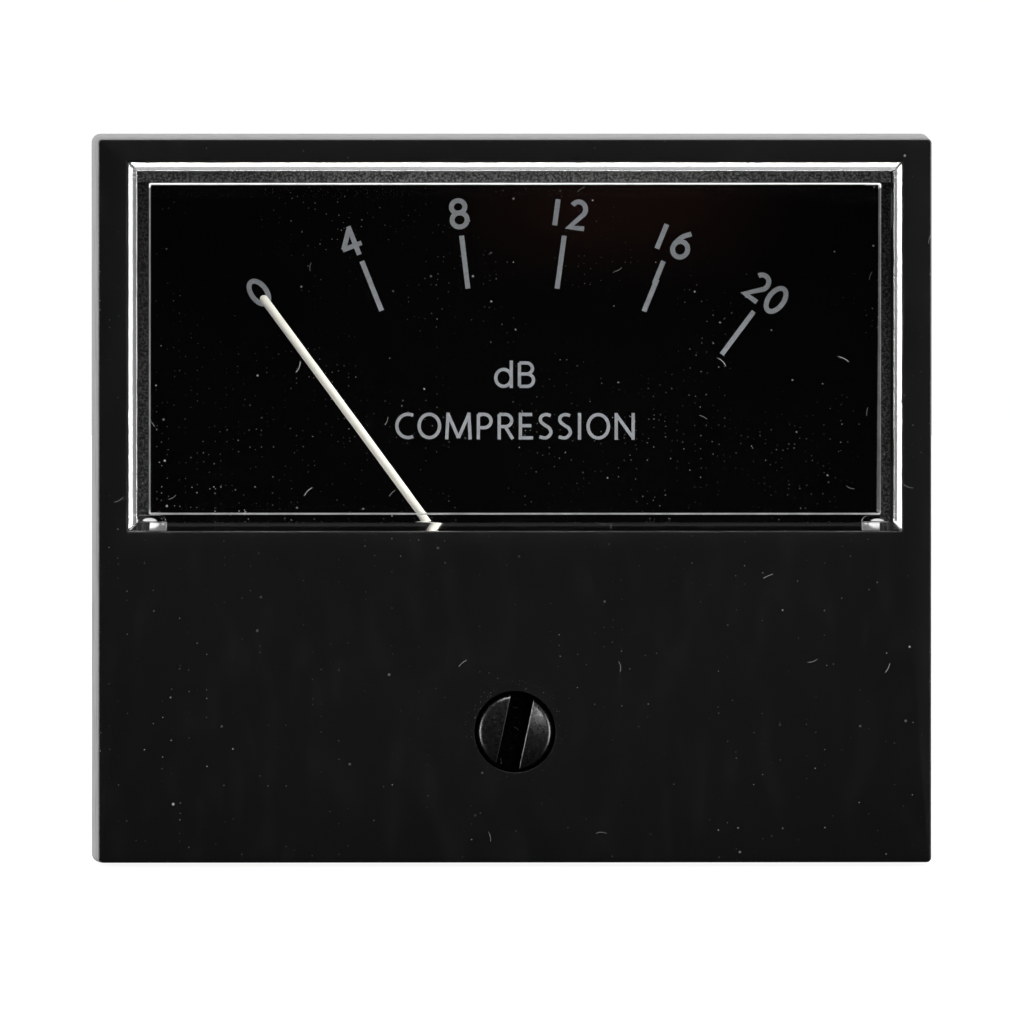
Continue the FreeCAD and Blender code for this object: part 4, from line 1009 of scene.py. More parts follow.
# Each sign is its width and its strokes, on a grid one unit high.
GLYPHS = {
    "0": (0.57, [arc(0.285, 0.5, 0.285, 0.5, 0, 360, 40)]),
    "1": (0.57, [[(0.285, 0), (0.285, 1)]]),
    "2": (0.57, [arc(0.27, 0.71, 0.27, 0.29, 152, -32, 18) + [(0.02, 0.0), (0.58, 0.0)]]),
    "4": (0.57, [[(0.285, -0.08), (0.285, 1.08)], [(0.285, 1.0), (-0.2, 0.31)],
                 [(-0.24, 0.31), (0.53, 0.31)]]),
    "6": (0.57, [flowing([(0.46, 1.0), (0.2, 0.78), (0.04, 0.5), (0.0, 0.31)]),
                 arc(0.285, 0.3, 0.285, 0.3, 0, 360, 36)]),
    "8": (0.57, [arc(0.285, 0.76, 0.255, 0.24, 0, 360, 32), arc(0.285, 0.26, 0.285, 0.27, 0, 360, 36)]),
    "C": (0.68, [arc(0.48, 0.5, 0.48, 0.5, 64, 296, 30)]),
    "O": (0.87, [arc(0.435, 0.5, 0.435, 0.5, 0, 360, 44)]),
    "M": (1.0, [[(0.0, -0.07), (0.06, 1.07)], [(0.06, 1.0), (0.5, 0.0)], [(0.5, 0.0), (0.94, 1.0)],
                [(0.94, 1.07), (1.0, -0.07)]]),
    "P": (0.54, [[(0, -0.07), (0, 1)], bowl(0, 0.54, 0.43, 1.0)]),
    "R": (0.58, [[(0, -0.07), (0, 1)], bowl(0, 0.53, 0.48, 1.0), [(0.24, 0.5), (0.58, -0.05)]]),
    "E": (0.52, [[(0.5, 1), (0, 1), (0, 0), (0.54, 0)], [(0, 0.52), (0.46, 0.52)]]),
    "S": (0.52, [flowing([(0.48, 0.95), (0.27, 1.0), (0.07, 0.9), (0.06, 0.7), (0.24, 0.54),
                          (0.42, 0.42), (0.49, 0.22), (0.36, 0.04), (0.2, 0.0), (0.0, 0.05)])]),
    "I": (0.03, [[(0.015, -0.07), (0.015, 1.07)]]),
    "N": (0.72, [[(0, -0.07), (0, 1.07)], [(0, 1.0), (0.72, 0.0)], [(0.72, -0.07), (0.72, 1.07)]]),
    "d": (0.66, [arc(0.33, 0.36, 0.33, 0.36, 0, 360, 36), [(0.66, -0.07), (0.66, 1.1)]]),
    "B": (0.6, [[(0, 0), (0, 1)], bowl(0, 0.55, 0.53, 1.0), bowl(0, 0.6, 0.0, 0.53)]),
}
# Space beside each letter, left and right, on the same grid.
BEARINGS = {"C": (0.055, 0.055), "O": (0.075, 0.075), "M": (0.093, 0.105), "P": (0.105, 0.09),
            "R": (0.12, 0.085), "E": (0.1, 0.07), "S": (0.081, 0.087), "I": (0.123, 0.135), "N": (0.118, 0.1),
            "d": (0.1, 0.1), "B": (0.11, 0.1)}


def ribbon(points, width):
    """A flat raised line of ink along (x, z) points, on the front of the scale plate."""
    closed = math.dist(points[0], points[-1]) < 1e-4
    path = [Vector(p) for p in (points[:-1] if closed else points)]
    count = len(path)
    left, right = [], []
    for i, p in enumerate(path):
        before = path[i - 1] if i > 0 or closed else None
        after = path[(i + 1) % count] if i < count - 1 or closed else None
        into = (p - before).normalized() if before is not None else (after - p).normalized()
        out = (after - p).normalized() if after is not None else into
        along = (into + out).normalized()
        stretch = min(1.9, 1 / max(0.3, along.dot(into)))
        side = Vector((-along.y, along.x)) * (width / 2 * stretch)
        left.append(p + side)
        right.append(p - side)
    bm = bmesh.new()
    (l0, r0), (l1, r1) = ([[bm.verts.new((q.x, y, q.y)) for q in row] for row in (left, right)]
                          for y in (SCALE_FRONT, SCALE_FRONT - PRINT_THICK))
    for i in range(count if closed else count - 1):
        j = (i + 1) % count
        for loop in ((l0[i], l0[j], r0[j], r0[i]), (l1[i], l1[j], r1[j], r1[i]),
                     (l0[i], l0[j], l1[j], l1[i]), (r0[i], r0[j], r1[j], r1[i])):
            bm.faces.new(loop)
    if not closed:
        bm.faces.new((l0[0], r0[0], r1[0], l1[0]))
        bm.faces.new((l0[-1], r0[-1], r1[-1], l1[-1]))
    bmesh.ops.recalc_face_normals(bm, faces=bm.faces)
    return bm


def sign(char, height, stroke, x, z):
    """One sign, its lower left corner at (x, z), drawn as one solid."""
    _, strokes = GLYPHS[char]
    grid = height - stroke
    solid = None
    for points in strokes:
        placed = [(x + px * grid, z + stroke / 2 + pz * grid) for px, pz in points]
        part = ribbon(placed, stroke)
        solid = part if solid is None else fuse(solid, part)
    return solid


def word(text, height, stroke, centre_x, z):
    """A row of signs, its middle at centre_x and its foot at z."""
    grid = height - stroke
    total = -BEARINGS[text[0]][0] - BEARINGS[text[-1]][1]
    total += sum(GLYPHS[c][0] + sum(BEARINGS[c]) for c in text) + len(text) * stroke / grid
    x = centre_x - total * grid / 2 + stroke / 2
    x -= BEARINGS[text[0]][0] * grid
    parts = []
    for c in text:
        x += BEARINGS[c][0] * grid
        parts.append(sign(c, height, stroke, x, z))
        x += (GLYPHS[c][0] + BEARINGS[c][1]) * grid + stroke
    return joined(*parts)


def scale_print():
    """Six tick lines, their numbers and the two words, in one ink."""
    steps = SCALE_MAX // SCALE_STEP
    ticks, numbers = [], []
    for i in range(steps + 1):
        angle = REST_ANGLE + SWEEP * i / steps
        line = ribbon([(0, PIVOT.z + TICK_INNER), (0, PIVOT.z + TICK_OUTER)], TICK_W)
        ticks.append(swung(line, angle))
        text = str(i * SCALE_STEP)
        width = GLYPHS["0"][0] * (NUMBER_H - NUMBER_STROKE)
        x = -(len(text) - 1) * NUMBER_ADVANCE / 2 - width / 2
        for k, c in enumerate(text):
            digit = sign(c, NUMBER_H, NUMBER_STROKE, x + k * NUMBER_ADVANCE,
                         PIVOT.z + NUMBER_R - NUMBER_H / 2)
            numbers.append(swung(digit, angle))
    for name, shape in (("ticks", joined(*ticks)), ("numbers", joined(*numbers)),
                        ("unit", word("dB", TEXT_H, TEXT_STROKE, *UNIT_PLACE)),
                        ("word", word("COMPRESSION", TEXT_H, TEXT_STROKE, *WORD_PLACE))):
        piece(f"print_{name}", shape, "root", material("print_grey"))


# ---------------------------------------------------------------- pointer and adjuster

def tube(path, radius, steps=20, ball_steps=6):
    """A round rod through the points, its last end a half ball."""
    rings = []

    def add_ring(centre, along, r):
        side = along.cross(Vector((1, 0, 0))).normalized()
        other = along.cross(side).normalized()
        angles = [2 * math.pi * i / steps for i in range(steps)]
        rings.append([centre + (side * math.cos(a) + other * math.sin(a)) * r for a in angles])

    for i, p in enumerate(path):
        before, after = path[max(i - 1, 0)], path[min(i + 1, len(path) - 1)]
        add_ring(p, (after - before).normalized(), radius)
    along = (path[-1] - path[-2]).normalized()
    for a in quarter(ball_steps)[1:]:
        add_ring(path[-1] + along * radius * math.sin(a), along, max(radius * math.cos(a), 0.004))
    return loft(rings)


def pointer():
    """The ivory pointer: a tube with a smooth crank, straight over the scale."""
    hub_y = span("pointer")[1].y - POINTER_R
    bend = [(1.02, hub_y), (2.6, hub_y), (2.9, hub_y), (3.02, hub_y - 0.35),
            (3.25, (hub_y + POINTER_Y) / 2), (3.48, POINTER_Y + 0.35), (3.6, POINTER_Y),
            (4.2, POINTER_Y)]
    knots = [Vector((0, y, r)) for r, y in bend]
    path = [a.lerp(b, t / 3) for a, b in zip(knots, knots[1:]) for t in range(3)]
    for _ in range(2):
        eased = [(p + q * 2 + r) / 4 for p, q, r in zip(path, path[1:], path[2:])]
        path = [path[0]] + eased + [path[-1]]
    path += [Vector((0, POINTER_Y, r)) for r in (6, 9, 13, 17, POINTER_TIP - POINTER_R)]
    path = [p + Vector((0, 0, PIVOT.z)) for p in path]
    return stand_in("pointer_needle", swung(tube(path, POINTER_R), REST_ANGLE), "pointer")


def zero_adjuster():
    """Slotted head with a soft rim, shank, clip groove and eccentric pin, as turned."""
    z = ADJUSTER.z
    head_r, dome, round_r = 1.97, 0.3, 0.34
    rim = FACE_Y + 0.1
    profile = [(0, rim - dome)]
    for i in range(1, 13):
        r = (head_r - round_r) * i / 12
        profile.append((r, rim - dome * (1 - (r / head_r) ** 2)))
    edge_r, edge_y = profile[-1]
    tilt = math.atan(2 * dome * edge_r / head_r ** 2)
    spread = round_r / (1 - math.sin(tilt))
    for i in range(1, 11):
        a = tilt + (math.pi / 2 - tilt) * i / 10
        profile.append((head_r - spread * (1 - math.sin(a)),
                        edge_y + spread * (math.cos(tilt) - math.cos(a))))
    seat, groove, shank_r = ADJUSTER_SEAT - RUNNING_GAP, ADJUSTER_BOSS_END, 1.3
    profile += [(head_r, seat), (shank_r, seat), (shank_r, groove), (shank_r - 0.25, groove),
                (shank_r - 0.25, groove + 0.25), (shank_r, groove + 0.25), (shank_r, groove + 0.5),
                (shank_r - 0.1, groove + 0.6), (0, groove + 0.6)]
    front = rim - dome
    slot = block(-SLOT_HALF_W, SLOT_HALF_W, front - 1, front + SLOT_DEPTH, z - 3, z + 3)
    body = cut(lathe(profile, 0, z, 128), turn(slot, SLOT_ANGLE, about=(0, 0, z)))

    upright = Matrix.Rotation(math.radians(-SLOT_ANGLE), 3, "Y")
    edges = []
    for edge in body.edges:
        middle = (edge.verts[0].co + edge.verts[1].co) / 2
        across = (upright @ (middle - Vector((0, 0, z)))).x
        at_slot = middle.y < rim + 0.5 and abs(abs(across) - SLOT_HALF_W) < 0.02
        if at_slot and len(edge.link_faces) == 2 and edge.calc_face_angle(0) > 1.0:
            edges.append(edge)
    bevel(body, edges, 0.07, 3)
    pin = turned(0.45, groove + 0.4, span("zero_adjuster")[1].y, 0.08, 0, z + 0.5, 48)
    return stand_in("zero_adjuster_screw", fuse(body, pin), "zero_adjuster", sharp=38)


# ---------------------------------------------------------------- rear case and its fixings

def pair(name, node, make, sharp=32):
    """Two alike pieces of one node, right and left: make takes the side and the node's ends."""
    low, high = span(node)
    both = joined(*(make(side, low.y, high.y) for side in (1, -1)))
    return stand_in(name, both, node, sharp=sharp)


def rear_case():
    """Flange inside the cover, barrel, inner posts, terminal pads and a raised plus."""
    half_w, half_h = CASE_HIGH.x, CASE_HIGH.z
    edge = 0.1
    body = loft([rect_ring(half_w - inset, inset - half_h, half_h - inset, 0.6 - inset, y)
                 for inset, y in ((edge, -FLANGE), (0, edge - FLANGE), (0, -edge), (edge, 0))])
    root = -FLANGE / 2
    barrel = [(0, root), (BARREL_R, root)] + round_rim(BARREL_R, BARREL_END, 0.6, 1, 1, 8)
    body = fuse(body, lathe(barrel + [(0, BARREL_END)], steps=192))
    bore_r, front = BARREL_R - BARREL_WALL, -FLANGE - 1
    body = cut(body, lathe([(0, front), (bore_r, front), (bore_r, BARREL_FLOOR - 0.4),
                            (bore_r - 0.4, BARREL_FLOOR), (0, BARREL_FLOOR)], steps=192))
    pad_y = span("terminal_washers")[0].y
    for side in (1, -1):
        body = fuse(body, rod(1.5, SCALE_FRONT + 0.5, root, side * SCALE_SCREW_X, SCALE_SCREW_Z, 48),
                    rod(1.9, BRIDGE_BACK, BARREL_FLOOR + 0.5, side * BRIDGE_SCREW_X, PIVOT.z, 48),
                    lathe([(0, BARREL_END - 0.5), (3.4, BARREL_END - 0.5), (3.4, pad_y - 0.15),
                           (3.25, pad_y), (0, pad_y)], side * TERMINAL_X, TERMINAL_Z))
    plus_z, y0, y1 = TERMINAL_Z - 5.2, BARREL_END - 0.1, BARREL_END + 0.3
    for wide, tall in ((1.1, 0.25), (0.25, 1.1)):
        body = fuse(body, block(TERMINAL_X - wide, TERMINAL_X + wide, y0, y1, plus_z - tall, plus_z + tall))
    for x, z in arc(0, 0, EJECTOR_R, EJECTOR_R, 90, 330, 2):
        mark = lathe([(0, BARREL_END - 0.06), (1.5, BARREL_END - 0.06), (1.55, BARREL_END + 1),
                      (0, BARREL_END + 1)], x, z, 48)
        body = cut(body, mark)
    for side in (1, -1):
        sink = [(0, front), (0.9, front), (0.9, -0.65), (1.6, 0.05), (1.6, 1), (0, 1)]
        lug = side * LUG_X
        body = cut(body, rod(0.7, SCALE_FRONT - 1, -0.6, side * SCALE_SCREW_X, SCALE_SCREW_Z, 48),
                   rod(0.8, BRIDGE_BACK - 1, 16, side * BRIDGE_SCREW_X, PIVOT.z, 48),
                   rod(1.5, BARREL_FLOOR - 1, pad_y + 1, side * TERMINAL_X, TERMINAL_Z, 48),
                   lathe(sink, side * COVER_SCREW_X, COVER_SCREW_Z, 64),
                   block(lug - 1.9, lug + 1.9, -1, 1, half_h - 0.68, half_h + 1),
                   *(rod(1.6, front, 1, side * STUD_X, up * STUD_Z, 64) for up in (1, -1)))
    return stand_in("rear_case_shell", body, "rear_case")


def cover_screws():
    """Self-tapping screws with a countersunk head and a cross recess."""
    def screw(side, front, _):
        x, z = side * COVER_SCREW_X, COVER_SCREW_Z
        profile = [(1.49, 0.0), (SCREW_HEAD_R, -0.06), (0.8, -0.8), (0.8, -1.2), (0.8, front + 0.5),
                   (0.12, front)]
        body = threaded(profile, -1.2, 0.6, 0.2, x, z, 48, hand=-1)
        long, short, flare = 0.62, 0.22, 0.24
        for width, depth in ((long, short), (short, long)):
            wide, tall = width + flare * (width > depth), depth + flare * (depth > width)
            mouth = rect_ring(wide, -tall, tall, 0.05, 0.1, 2)
            bottom = rect_ring(width * 0.8, -depth * 0.8, depth * 0.8, 0.05, -0.5, 2)
            body = cut(body, loft([[(x + px, y, z + pz) for px, y, pz in ring]
                                   for ring in (mouth, bottom)]))
        return body
    return pair("cover_screw_pair", "cover_screws", screw)


def panel_studs():
    """Threaded studs pressed into the flange from the front."""
    low, high = span("panel_studs")
    profile = [(1.92, low.y), (2.0, low.y + 0.08), (2.0, -FLANGE), (1.6, -FLANGE), (1.6, -0.06),
               (1.54, 0.0), (1.22, 0.0), (1.22, 0.35), (1.25, 0.45), (1.25, high.y - 0.4),
               (0.85, high.y)]
    studs = [threaded(profile, 0.45, 0.45, 0.24, side * STUD_X, up * STUD_Z)
             for side in (1, -1) for up in (1, -1)]
    return stand_in("panel_stud_set", joined(*studs), "panel_studs")


def terminal_studs():
    """Studs with a hexagon head inside, a groove behind the nut, and a chamfered end."""
    start, nut_back = span("terminal_washers")[0].y, span("terminal_nuts")[1].y

    def stud(side, front, end):
        x, z = side * TERMINAL_X, TERMINAL_Z
        profile = [(1.5, front + 1.0), (1.5, start), (1.5, nut_back), (1.25, nut_back + 0.05),
                   (1.25, nut_back + 0.75), (1.5, nut_back + 0.8), (1.5, end - 0.4), (1.1, end)]
        head = soften(hexagon(STUD_HEX, front, front + 1.4, x, z), 0.12)
        return fuse(threaded(profile, start, 0.5, 0.25, x, z), head)
    return pair("terminal_stud_pair", "terminal_studs", stud)


def terminal_washers():
    return pair("terminal_washer_pair", "terminal_washers", lambda side, front, back: washer(
        3.0, 1.55, front, back, 0.06, side * TERMINAL_X, TERMINAL_Z))


def terminal_nuts():
    return pair("terminal_nut_pair", "terminal_nuts", lambda side, front, back: hex_nut(
        5.5, 1.48, front, back, side * TERMINAL_X, TERMINAL_Z))


def solder_tags():
    """A ring on the stud, bent back through a round bend into a tongue with a wire hole."""
    top = span("solder_tags")[1].z
    thick, half_w, bend = 0.5, 1.3, 0.75

    def tag(side, front, end):
        x = side * TERMINAL_X
        outer, inner = ([(top - bend + r * math.sin(a), front + bend - r * math.cos(a))
                         for a in quarter(8)] for r in (bend, bend - thick))
        strip = [(TERMINAL_Z + 1.6, front)] + outer + [(top, end + 0.5), (top - thick, end + 0.5)]
        strip += inner[::-1] + [(TERMINAL_Z + 1.6, front + thick)]
        plan = arc(0, end - half_w, half_w, half_w, 0, 180, 24)
        plan = [(half_w, front - 1)] + plan + [(-half_w, front - 1)]
        bar = loft([[(x + w, y, z) for z, y in strip] for w in (-half_w - 0.1, half_w + 0.1)])
        mask = loft([[(x + px, y, z) for px, y in plan] for z in (TERMINAL_Z, top + 1)])
        disc = lathe([(0, front), (2.84, front), (2.9, front + 0.06), (2.9, front + thick - 0.06),
                      (2.84, front + thick), (0, front + thick)], x, TERMINAL_Z)
        hole = turn(rod(0.7, -2, 2, steps=40), 90, "X")
        bmesh.ops.translate(hole, vec=(x, end - half_w, top - thick / 2), verts=hole.verts)
        bore = rod(1.55, front - 1, front + 2, x, TERMINAL_Z)
        return cut(fuse(disc, combine(bar, mask, "INTERSECT")), hole, bore)
    return pair("solder_tag_pair", "solder_tags", tag, sharp=30)


# ---------------------------------------------------------------- movement

def on_pivot(node):
    """Front and rear ends of a node that is turned about the pivot's axis, and its radius."""
    low, high = span(node)
    return low.y, high.y, (high.x - low.x) / 2


def magnet_and_yoke():
    y0, y1, radius = on_pivot("core_magnet")
    stand_in("core_magnet_slug", turned(radius, y0, y1, 0.2, 0, PIVOT.z, 128), "core_magnet")
    y0, y1, radius = on_pivot("yoke_ring")
    stand_in("yoke_ring_shell", washer(radius, YOKE_BORE, y0, y1, 0.12, 0, PIVOT.z, 160), "yoke_ring")


def bearing(end, outward):
    """Jewel screw, its stone, its lock nut: end is front or rear, outward is -1 at the front."""
    y0, y1, radius = on_pivot(f"{end}_jewel_screw")
    stone0, stone1, stone_r = on_pivot(f"{end}_jewel")
    inner, outer = (y1, y0) if outward < 0 else (y0, y1)
    seat = inner + outward * (stone1 - stone0)
    profile = [(radius - 0.08, inner), (radius, inner + outward * 0.08), (radius, inner + outward * 0.4),
               (radius, outer - outward * 0.1), (radius - 0.1, outer)]
    screw = threaded(profile, inner + outward * 0.4, 0.25, 0.12, 0, PIVOT.z, 48, hand=outward)
    slot = sorted((outer + outward, outer - outward * 0.45))
    screw = cut(screw, rod(stone_r, *sorted((inner - outward, seat)), 0, PIVOT.z, 48),
                block(-2, 2, *slot, PIVOT.z - 0.15, PIVOT.z + 0.15))
    stand_in(f"{end}_jewel_screw_turned", screw, f"{end}_jewel_screw")
    stone = [(0, seat), (stone_r - 0.04, seat), (stone_r, seat - outward * 0.04),
             (stone_r, inner + outward * 0.04), (stone_r - 0.04, inner), (0.4, inner),
             (0.05, inner + outward * 0.37), (0, inner + outward * 0.4)]
    stand_in(f"{end}_jewel_stone", lathe(stone, 0, PIVOT.z, 48), f"{end}_jewel")
    low, high = span(f"{end}_lock_nut")
    nut = hex_nut(3.5, radius - 0.02, low.y, high.y, 0, PIVOT.z)
    stand_in(f"{end}_lock_nut_hex", nut, f"{end}_lock_nut")


def insulating_washers():
    y0, y1, radius = on_pivot("insulating_washers")
    rings = [washer(radius, 1.0, y, y + 0.15, 0.03, 0, PIVOT.z) for y in (y0, y1 - 0.15)]
    return stand_in("insulating_washer_pair", joined(*rings), "insulating_washers")


def slotted_screw(x, z, front, end, head_r, head_h, shank_r, slot):
    """A round-headed screw whose head faces forward; its slot is as deep as it is wide."""
    edge, seat = 0.12, front + head_h
    profile = [(0.05, front)] + [(head_r - edge + edge * math.sin(a), front + edge - edge * math.cos(a))
                                 for a in quarter(4)]
    profile += [(head_r, seat), (shank_r, seat), (shank_r, seat + 0.5), (shank_r, end - 0.3),
                (shank_r - 0.25, end)]
    body = threaded(profile, max(seat + 0.5, end - 4), 0.4, 0.15, x, z, 40)
    return cut(body, block(x - 2, x + 2, front - 1, front + slot, z - slot / 2, z + slot / 2))


def screws():
    pair("bridge_screw_pair", "bridge_screws", lambda side, front, end: slotted_screw(
        side * BRIDGE_SCREW_X, PIVOT.z, front, end, 1.4, 0.8, 0.8, 0.4))
    pair("scale_screw_pair", "scale_screws", lambda side, front, end: slotted_screw(
        side * SCALE_SCREW_X, SCALE_SCREW_Z, front, end, 1.25, 0.7, 0.7, 0.35))


def hoop(half_w, y0, y1, section, corner):
    """A rectangular hoop round the core: section is (outward, z) points, drawn upright."""
    rings = []
    outline = rect_ring(half_w, y0, y1, corner, 0, 8)
    count = len(outline)
    for i, (x, _, y) in enumerate(outline):
        ahead, behind = outline[(i + 1) % count], outline[i - 1]
        normal = Vector((ahead[2] - behind[2], behind[0] - ahead[0])).normalized()
        rings.append([(x + normal.x * out, y + normal.y * out, PIVOT.z + z) for out, z in section])
    return swung(loft(rings, closed=True), REST_ANGLE)


def coil():
    """Aluminium former and the wire wound on it in turns side by side."""
    half_w, y0, y1, wall, depth, half_h = COIL_HALF_W, COIL_FRONT, COIL_BACK, 0.25, 0.9, 1.3
    flat = [(0, -half_h), (wall, -half_h), (wall, half_h), (0, half_h)]
    stand_in("coil_former_hoop", hoop(half_w, y0, y1, flat, 0.06), "coil_former")
    wire = 2 * half_h / WINDING_TURNS
    turns = [(wall, half_h - 0.02), (wall, 0.02 - half_h)]
    for k in range(WINDING_TURNS):
        middle = -half_h + wire * (k + 0.5)
        for i in range(4):
            a = math.pi * (i + 0.5) / 4
            turns.append((wall + depth - wire / 2 + wire / 2 * math.sin(a),
                          middle - wire / 2 * math.cos(a)))
    stand_in("coil_winding_turns", hoop(half_w, y0, y1, turns, 0.06), "coil_winding")


def hairspring(end, hand):
    """A flat spiral strip from the collet to the tab."""
    low, high = span(f"{end}_hairspring")
    inner_r, outer_r, half_t = 0.885, 2.5, 0.035
    corners = ((-half_t, low.y), (half_t, low.y), (half_t, high.y), (-half_t, high.y))
    steps = int(SPRING_TURNS * 56)
    rings = []
    for i in range(steps + 1):
        share = i / steps
        a = math.radians(TAB_ANGLE) - hand * 2 * math.pi * SPRING_TURNS * (1 - share)
        r = inner_r + (outer_r - inner_r) * share
        rings.append([((r + out) * math.sin(a), y, PIVOT.z + (r + out) * math.cos(a))
                      for out, y in corners])
    return stand_in(f"{end}_hairspring_spiral", loft(rings), f"{end}_hairspring")


def shafts():
    """Both pivots and their collets."""
    tip = 0.53
    y0, y1, radius = on_pivot("front_pivot")
    front = [(0, y1), (radius, y1), (radius, y0 + tip), (0.03, y0 + 0.02), (0, y0)]
    stand_in("front_pivot_shaft", lathe(front, 0, PIVOT.z, 40), "front_pivot")
    y0, y1, radius = on_pivot("rear_pivot")
    rear = [(0, y0), (radius - 0.05, y0), (radius, y0 + 0.05), (radius, y0 + 0.35), (radius - 0.05, y0 + 0.4),
            (0.3, y0 + 0.4), (0.3, y1 - tip), (0.03, y1 - 0.02), (0, y1)]
    stand_in("rear_pivot_shaft", lathe(rear, 0, PIVOT.z, 48), "rear_pivot")
    y0, y1, radius = on_pivot("spring_collets")
    rings = []
    for y in (y0, y1 - 0.5):
        ring = washer(radius, 0.3, y, y + 0.5, 0.05, 0, PIVOT.z, 48)
        rings.append(cut(ring, block(-0.08, 0.08, y - 1, y + 1, PIVOT.z, PIVOT.z + 2)))
    stand_in("spring_collet_pair", joined(*rings), "spring_collets")


def balance_weights():
    """Three small coils of wire, pushed along the hub's arms."""
    y = span("pointer_hub")[0].y + 0.15
    inner_r, outer_r = 0.2, 0.5

    def wire_coil(centre_r, length, degrees):
        count = round(length / 0.2)
        wire = length / count
        profile = [(inner_r, -length / 2)]
        for k in range(count):
            for i in range(5):
                a = math.pi * (i + 0.5) / 5
                profile.append((outer_r - wire / 2 * (1 - math.sin(a)),
                                -length / 2 + wire * (k + 0.5) - wire / 2 * math.cos(a)))
        profile.append((inner_r, length / 2))
        bm = turn(lathe(profile, steps=32, ring=True), 90, "X")
        bmesh.ops.translate(bm, vec=(0, y, PIVOT.z + centre_r), verts=bm.verts)
        return swung(bm, degrees + REST_ANGLE)
    weights = joined(wire_coil(3.3, 1.6, 180), wire_coil(3.4, 0.8, 90), wire_coil(3.4, 0.8, -90))
    return stand_in("balance_weight_set", weights, "balance_weights")


def adjuster_clip():
    low, high = span("adjuster_clip")
    z = ADJUSTER.z
    outer_r, inner_r, half_gap = (high.x - low.x) / 2, 1.05, 0.7
    far, near = (math.degrees(math.asin(half_gap / r)) for r in (outer_r, inner_r))
    outline = arc(0, z, outer_r, outer_r, far - 90, 270 - far, 48)
    outline += arc(0, z, inner_r, inner_r, 270 - near, near - 90, 32)
    return stand_in("adjuster_clip_ring", soften(prism(outline, low.y, high.y), 0.03), "adjuster_clip")


def stops():
    """Wires through the scale plate and their rubber sleeves, one at each end of the travel."""
    a = math.radians(SWEEP / 2 + STOP_MARGIN) + math.asin((POINTER_R + SLEEVE_R) / STOP_RADIUS)
    x, z = STOP_RADIUS * math.sin(a), PIVOT.z + STOP_RADIUS * math.cos(a)
    pair("stop_pin_pair", "stop_pins",
         lambda side, front, end: turned(PIN_R, front, end, 0.06, side * x, z, 24))
    pair("stop_sleeve_pair", "stop_sleeves",
         lambda side, front, end: washer(SLEEVE_R, PIN_R, front, end, 0.06, side * x, z, 32))


# ---------------------------------------------------------------- light, floor and camera

def world():
    """White for the camera; for the object, soft boxes at the sides, above and behind."""
    made = bpy.data.worlds.new("studio")
    bpy.context.scene.world = made
    made.use_nodes = True
    w = Nodes(made.node_tree)
    way = w.add("TexCoord").outputs["Generated"]
    x, y, z = w.split(way)
    base = w.times(w.ramp(y, -0.6, 0.1, FRONT_LIGHT, BACK_LIGHT), w.ramp(z, -0.5, 0.05, 0.25, 1.0))
    level = w.ramp(z, -0.45, -0.2)
    dip = w.times(w.ramp(y, -0.21, -0.15), w.ramp(y, 0.12, 0.03))
    level = w.times(level, w.minus(1.0, w.times(dip, SIDE_DIP)))
    left = w.times(w.ramp(x, -0.84, -0.93, 0.0, SIDE_BOX), level)
    right = w.times(w.ramp(x, 0.84, 0.93, 0.0, SIDE_BOX), level)
    top = w.times(w.ramp(z, 0.82, 0.92, 0.0, TOP_BOX), w.minus(1.0, w.times(dip, TOP_DIP)))
    towards = w.add("VectorMath", way, Vector(KEY_PLACE).normalized(), operation="DOT_PRODUCT")
    key = w.ramp(towards.outputs["Value"], *KEY_EDGE, 0.0, KEY_BOX)
    total = w.plus(w.plus(w.plus(base, left), w.plus(right, top)), key)
    light = w.fill(w.add("Background"), Color=rgb(1, 1, 1), Strength=total)
    seen = w.fill(w.add("Background"), Color=rgb(1, 1, 1), Strength=1.02)
    to_camera = w.add("LightPath").outputs["Is Camera Ray"]
    w.add("OutputWorld", w.add("MixShader", to_camera, light, seen).outputs[0])


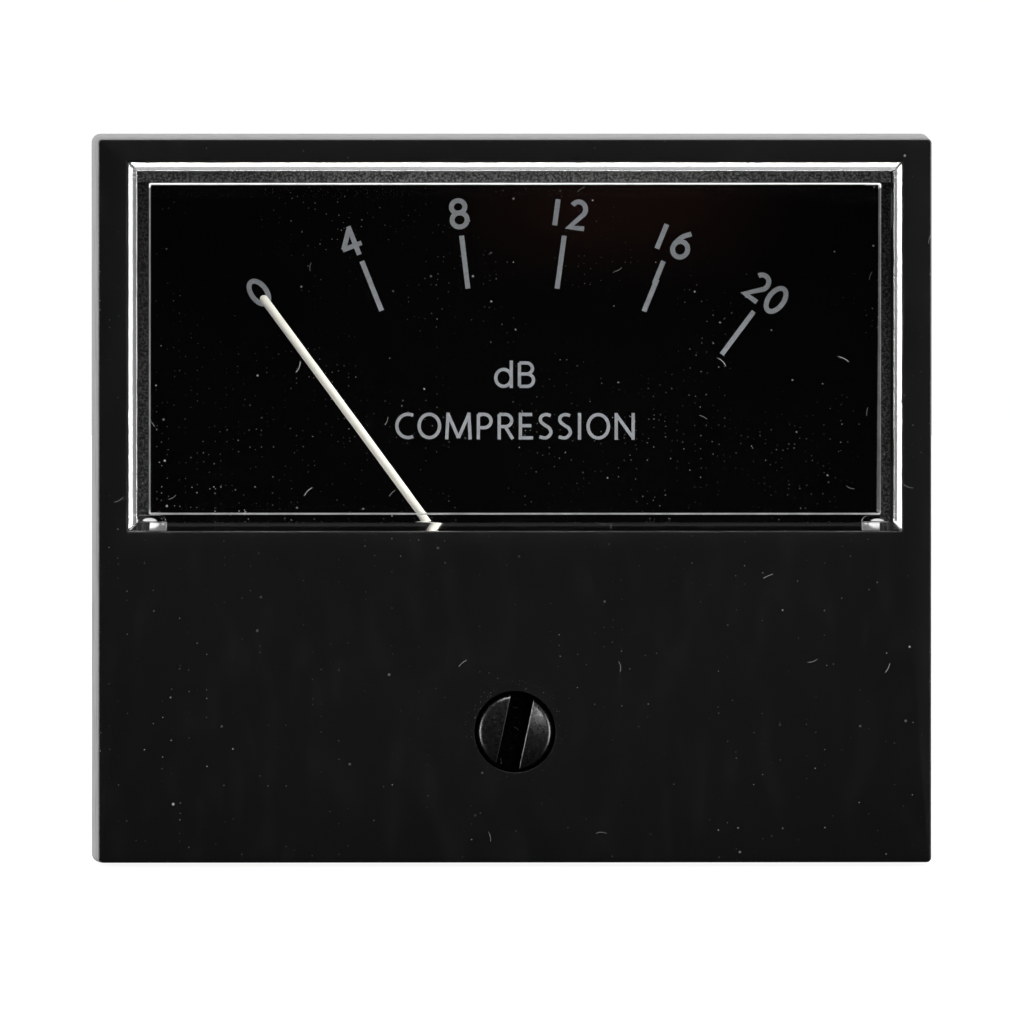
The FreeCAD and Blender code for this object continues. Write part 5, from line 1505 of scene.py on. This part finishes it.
def floor():
    """A plain pale floor under the object's lowest point, bright enough to read as white."""
    bm = bmesh.new()
    bmesh.ops.create_grid(bm, x_segments=1, y_segments=1, size=FLOOR_SIZE)
    bmesh.ops.translate(bm, vec=(0, 0, cad_low[2]), verts=bm.verts)
    mesh = used_up(bm, "floor")
    s = Shader("floor_white")
    pale = s.mix(s.noise(40.0, 2), rgb(0.1, 0.1, 0.1), rgb(0.11, 0.11, 0.11))
    mesh.materials.append(s.surface(pale, 0.9, Specular_IOR_Level=0.0, Emission_Color=rgb(1, 1, 1),
                                    Emission_Strength=0.92))
    obj = new_object("floor", mesh)
    obj.visible_glossy = False
    obj.visible_diffuse = False
    obj.visible_transmission = False


def camera():
    """Far off and nearly square on, a little to the left and above."""
    data = bpy.data.cameras.new("camera")
    data.sensor_width = SENSOR
    data.lens = SENSOR * CAMERA_DISTANCE / FRAME_WIDTH
    data.clip_start = 0.05
    data.clip_end = 10.0
    obj = new_object("camera", data)
    left, above = math.radians(CAMERA_LEFT), math.radians(CAMERA_ABOVE)
    aim = Vector((AIM_X, FACE_Y, AIM_Z)) * MM
    back = Vector((-math.sin(left) * math.cos(above), -math.cos(left) * math.cos(above),
                   math.sin(above)))
    obj.location = aim + back * (CAMERA_DISTANCE * MM)
    obj.rotation_mode = "QUATERNION"
    obj.rotation_quaternion = (-back).to_track_quat("-Z", "Y")
    bpy.context.scene.camera = obj


# ---------------------------------------------------------------- build

front_cover()
window_lens()
scale_print()
pointer()
zero_adjuster()
rear_case()
cover_screws()
panel_studs()
terminal_studs()
terminal_washers()
solder_tags()
terminal_nuts()
magnet_and_yoke()
bearing("front", -1)
bearing("rear", 1)
insulating_washers()
screws()
coil()
hairspring("front", 1)
hairspring("rear", -1)
shafts()
balance_weights()
adjuster_clip()
stops()
for node in ("zero_lever", "core_holder", "movement_frame", "front_bridge", "rear_bridge", "rear_abutment",
             "pointer_hub", "scale_plate", "terminal_inner_tags", "lead_wire_positive",
             "lead_wire_negative"):
    dress(node)

world()
floor()
camera()
bpy.context.scene.view_settings.view_transform = "Standard"
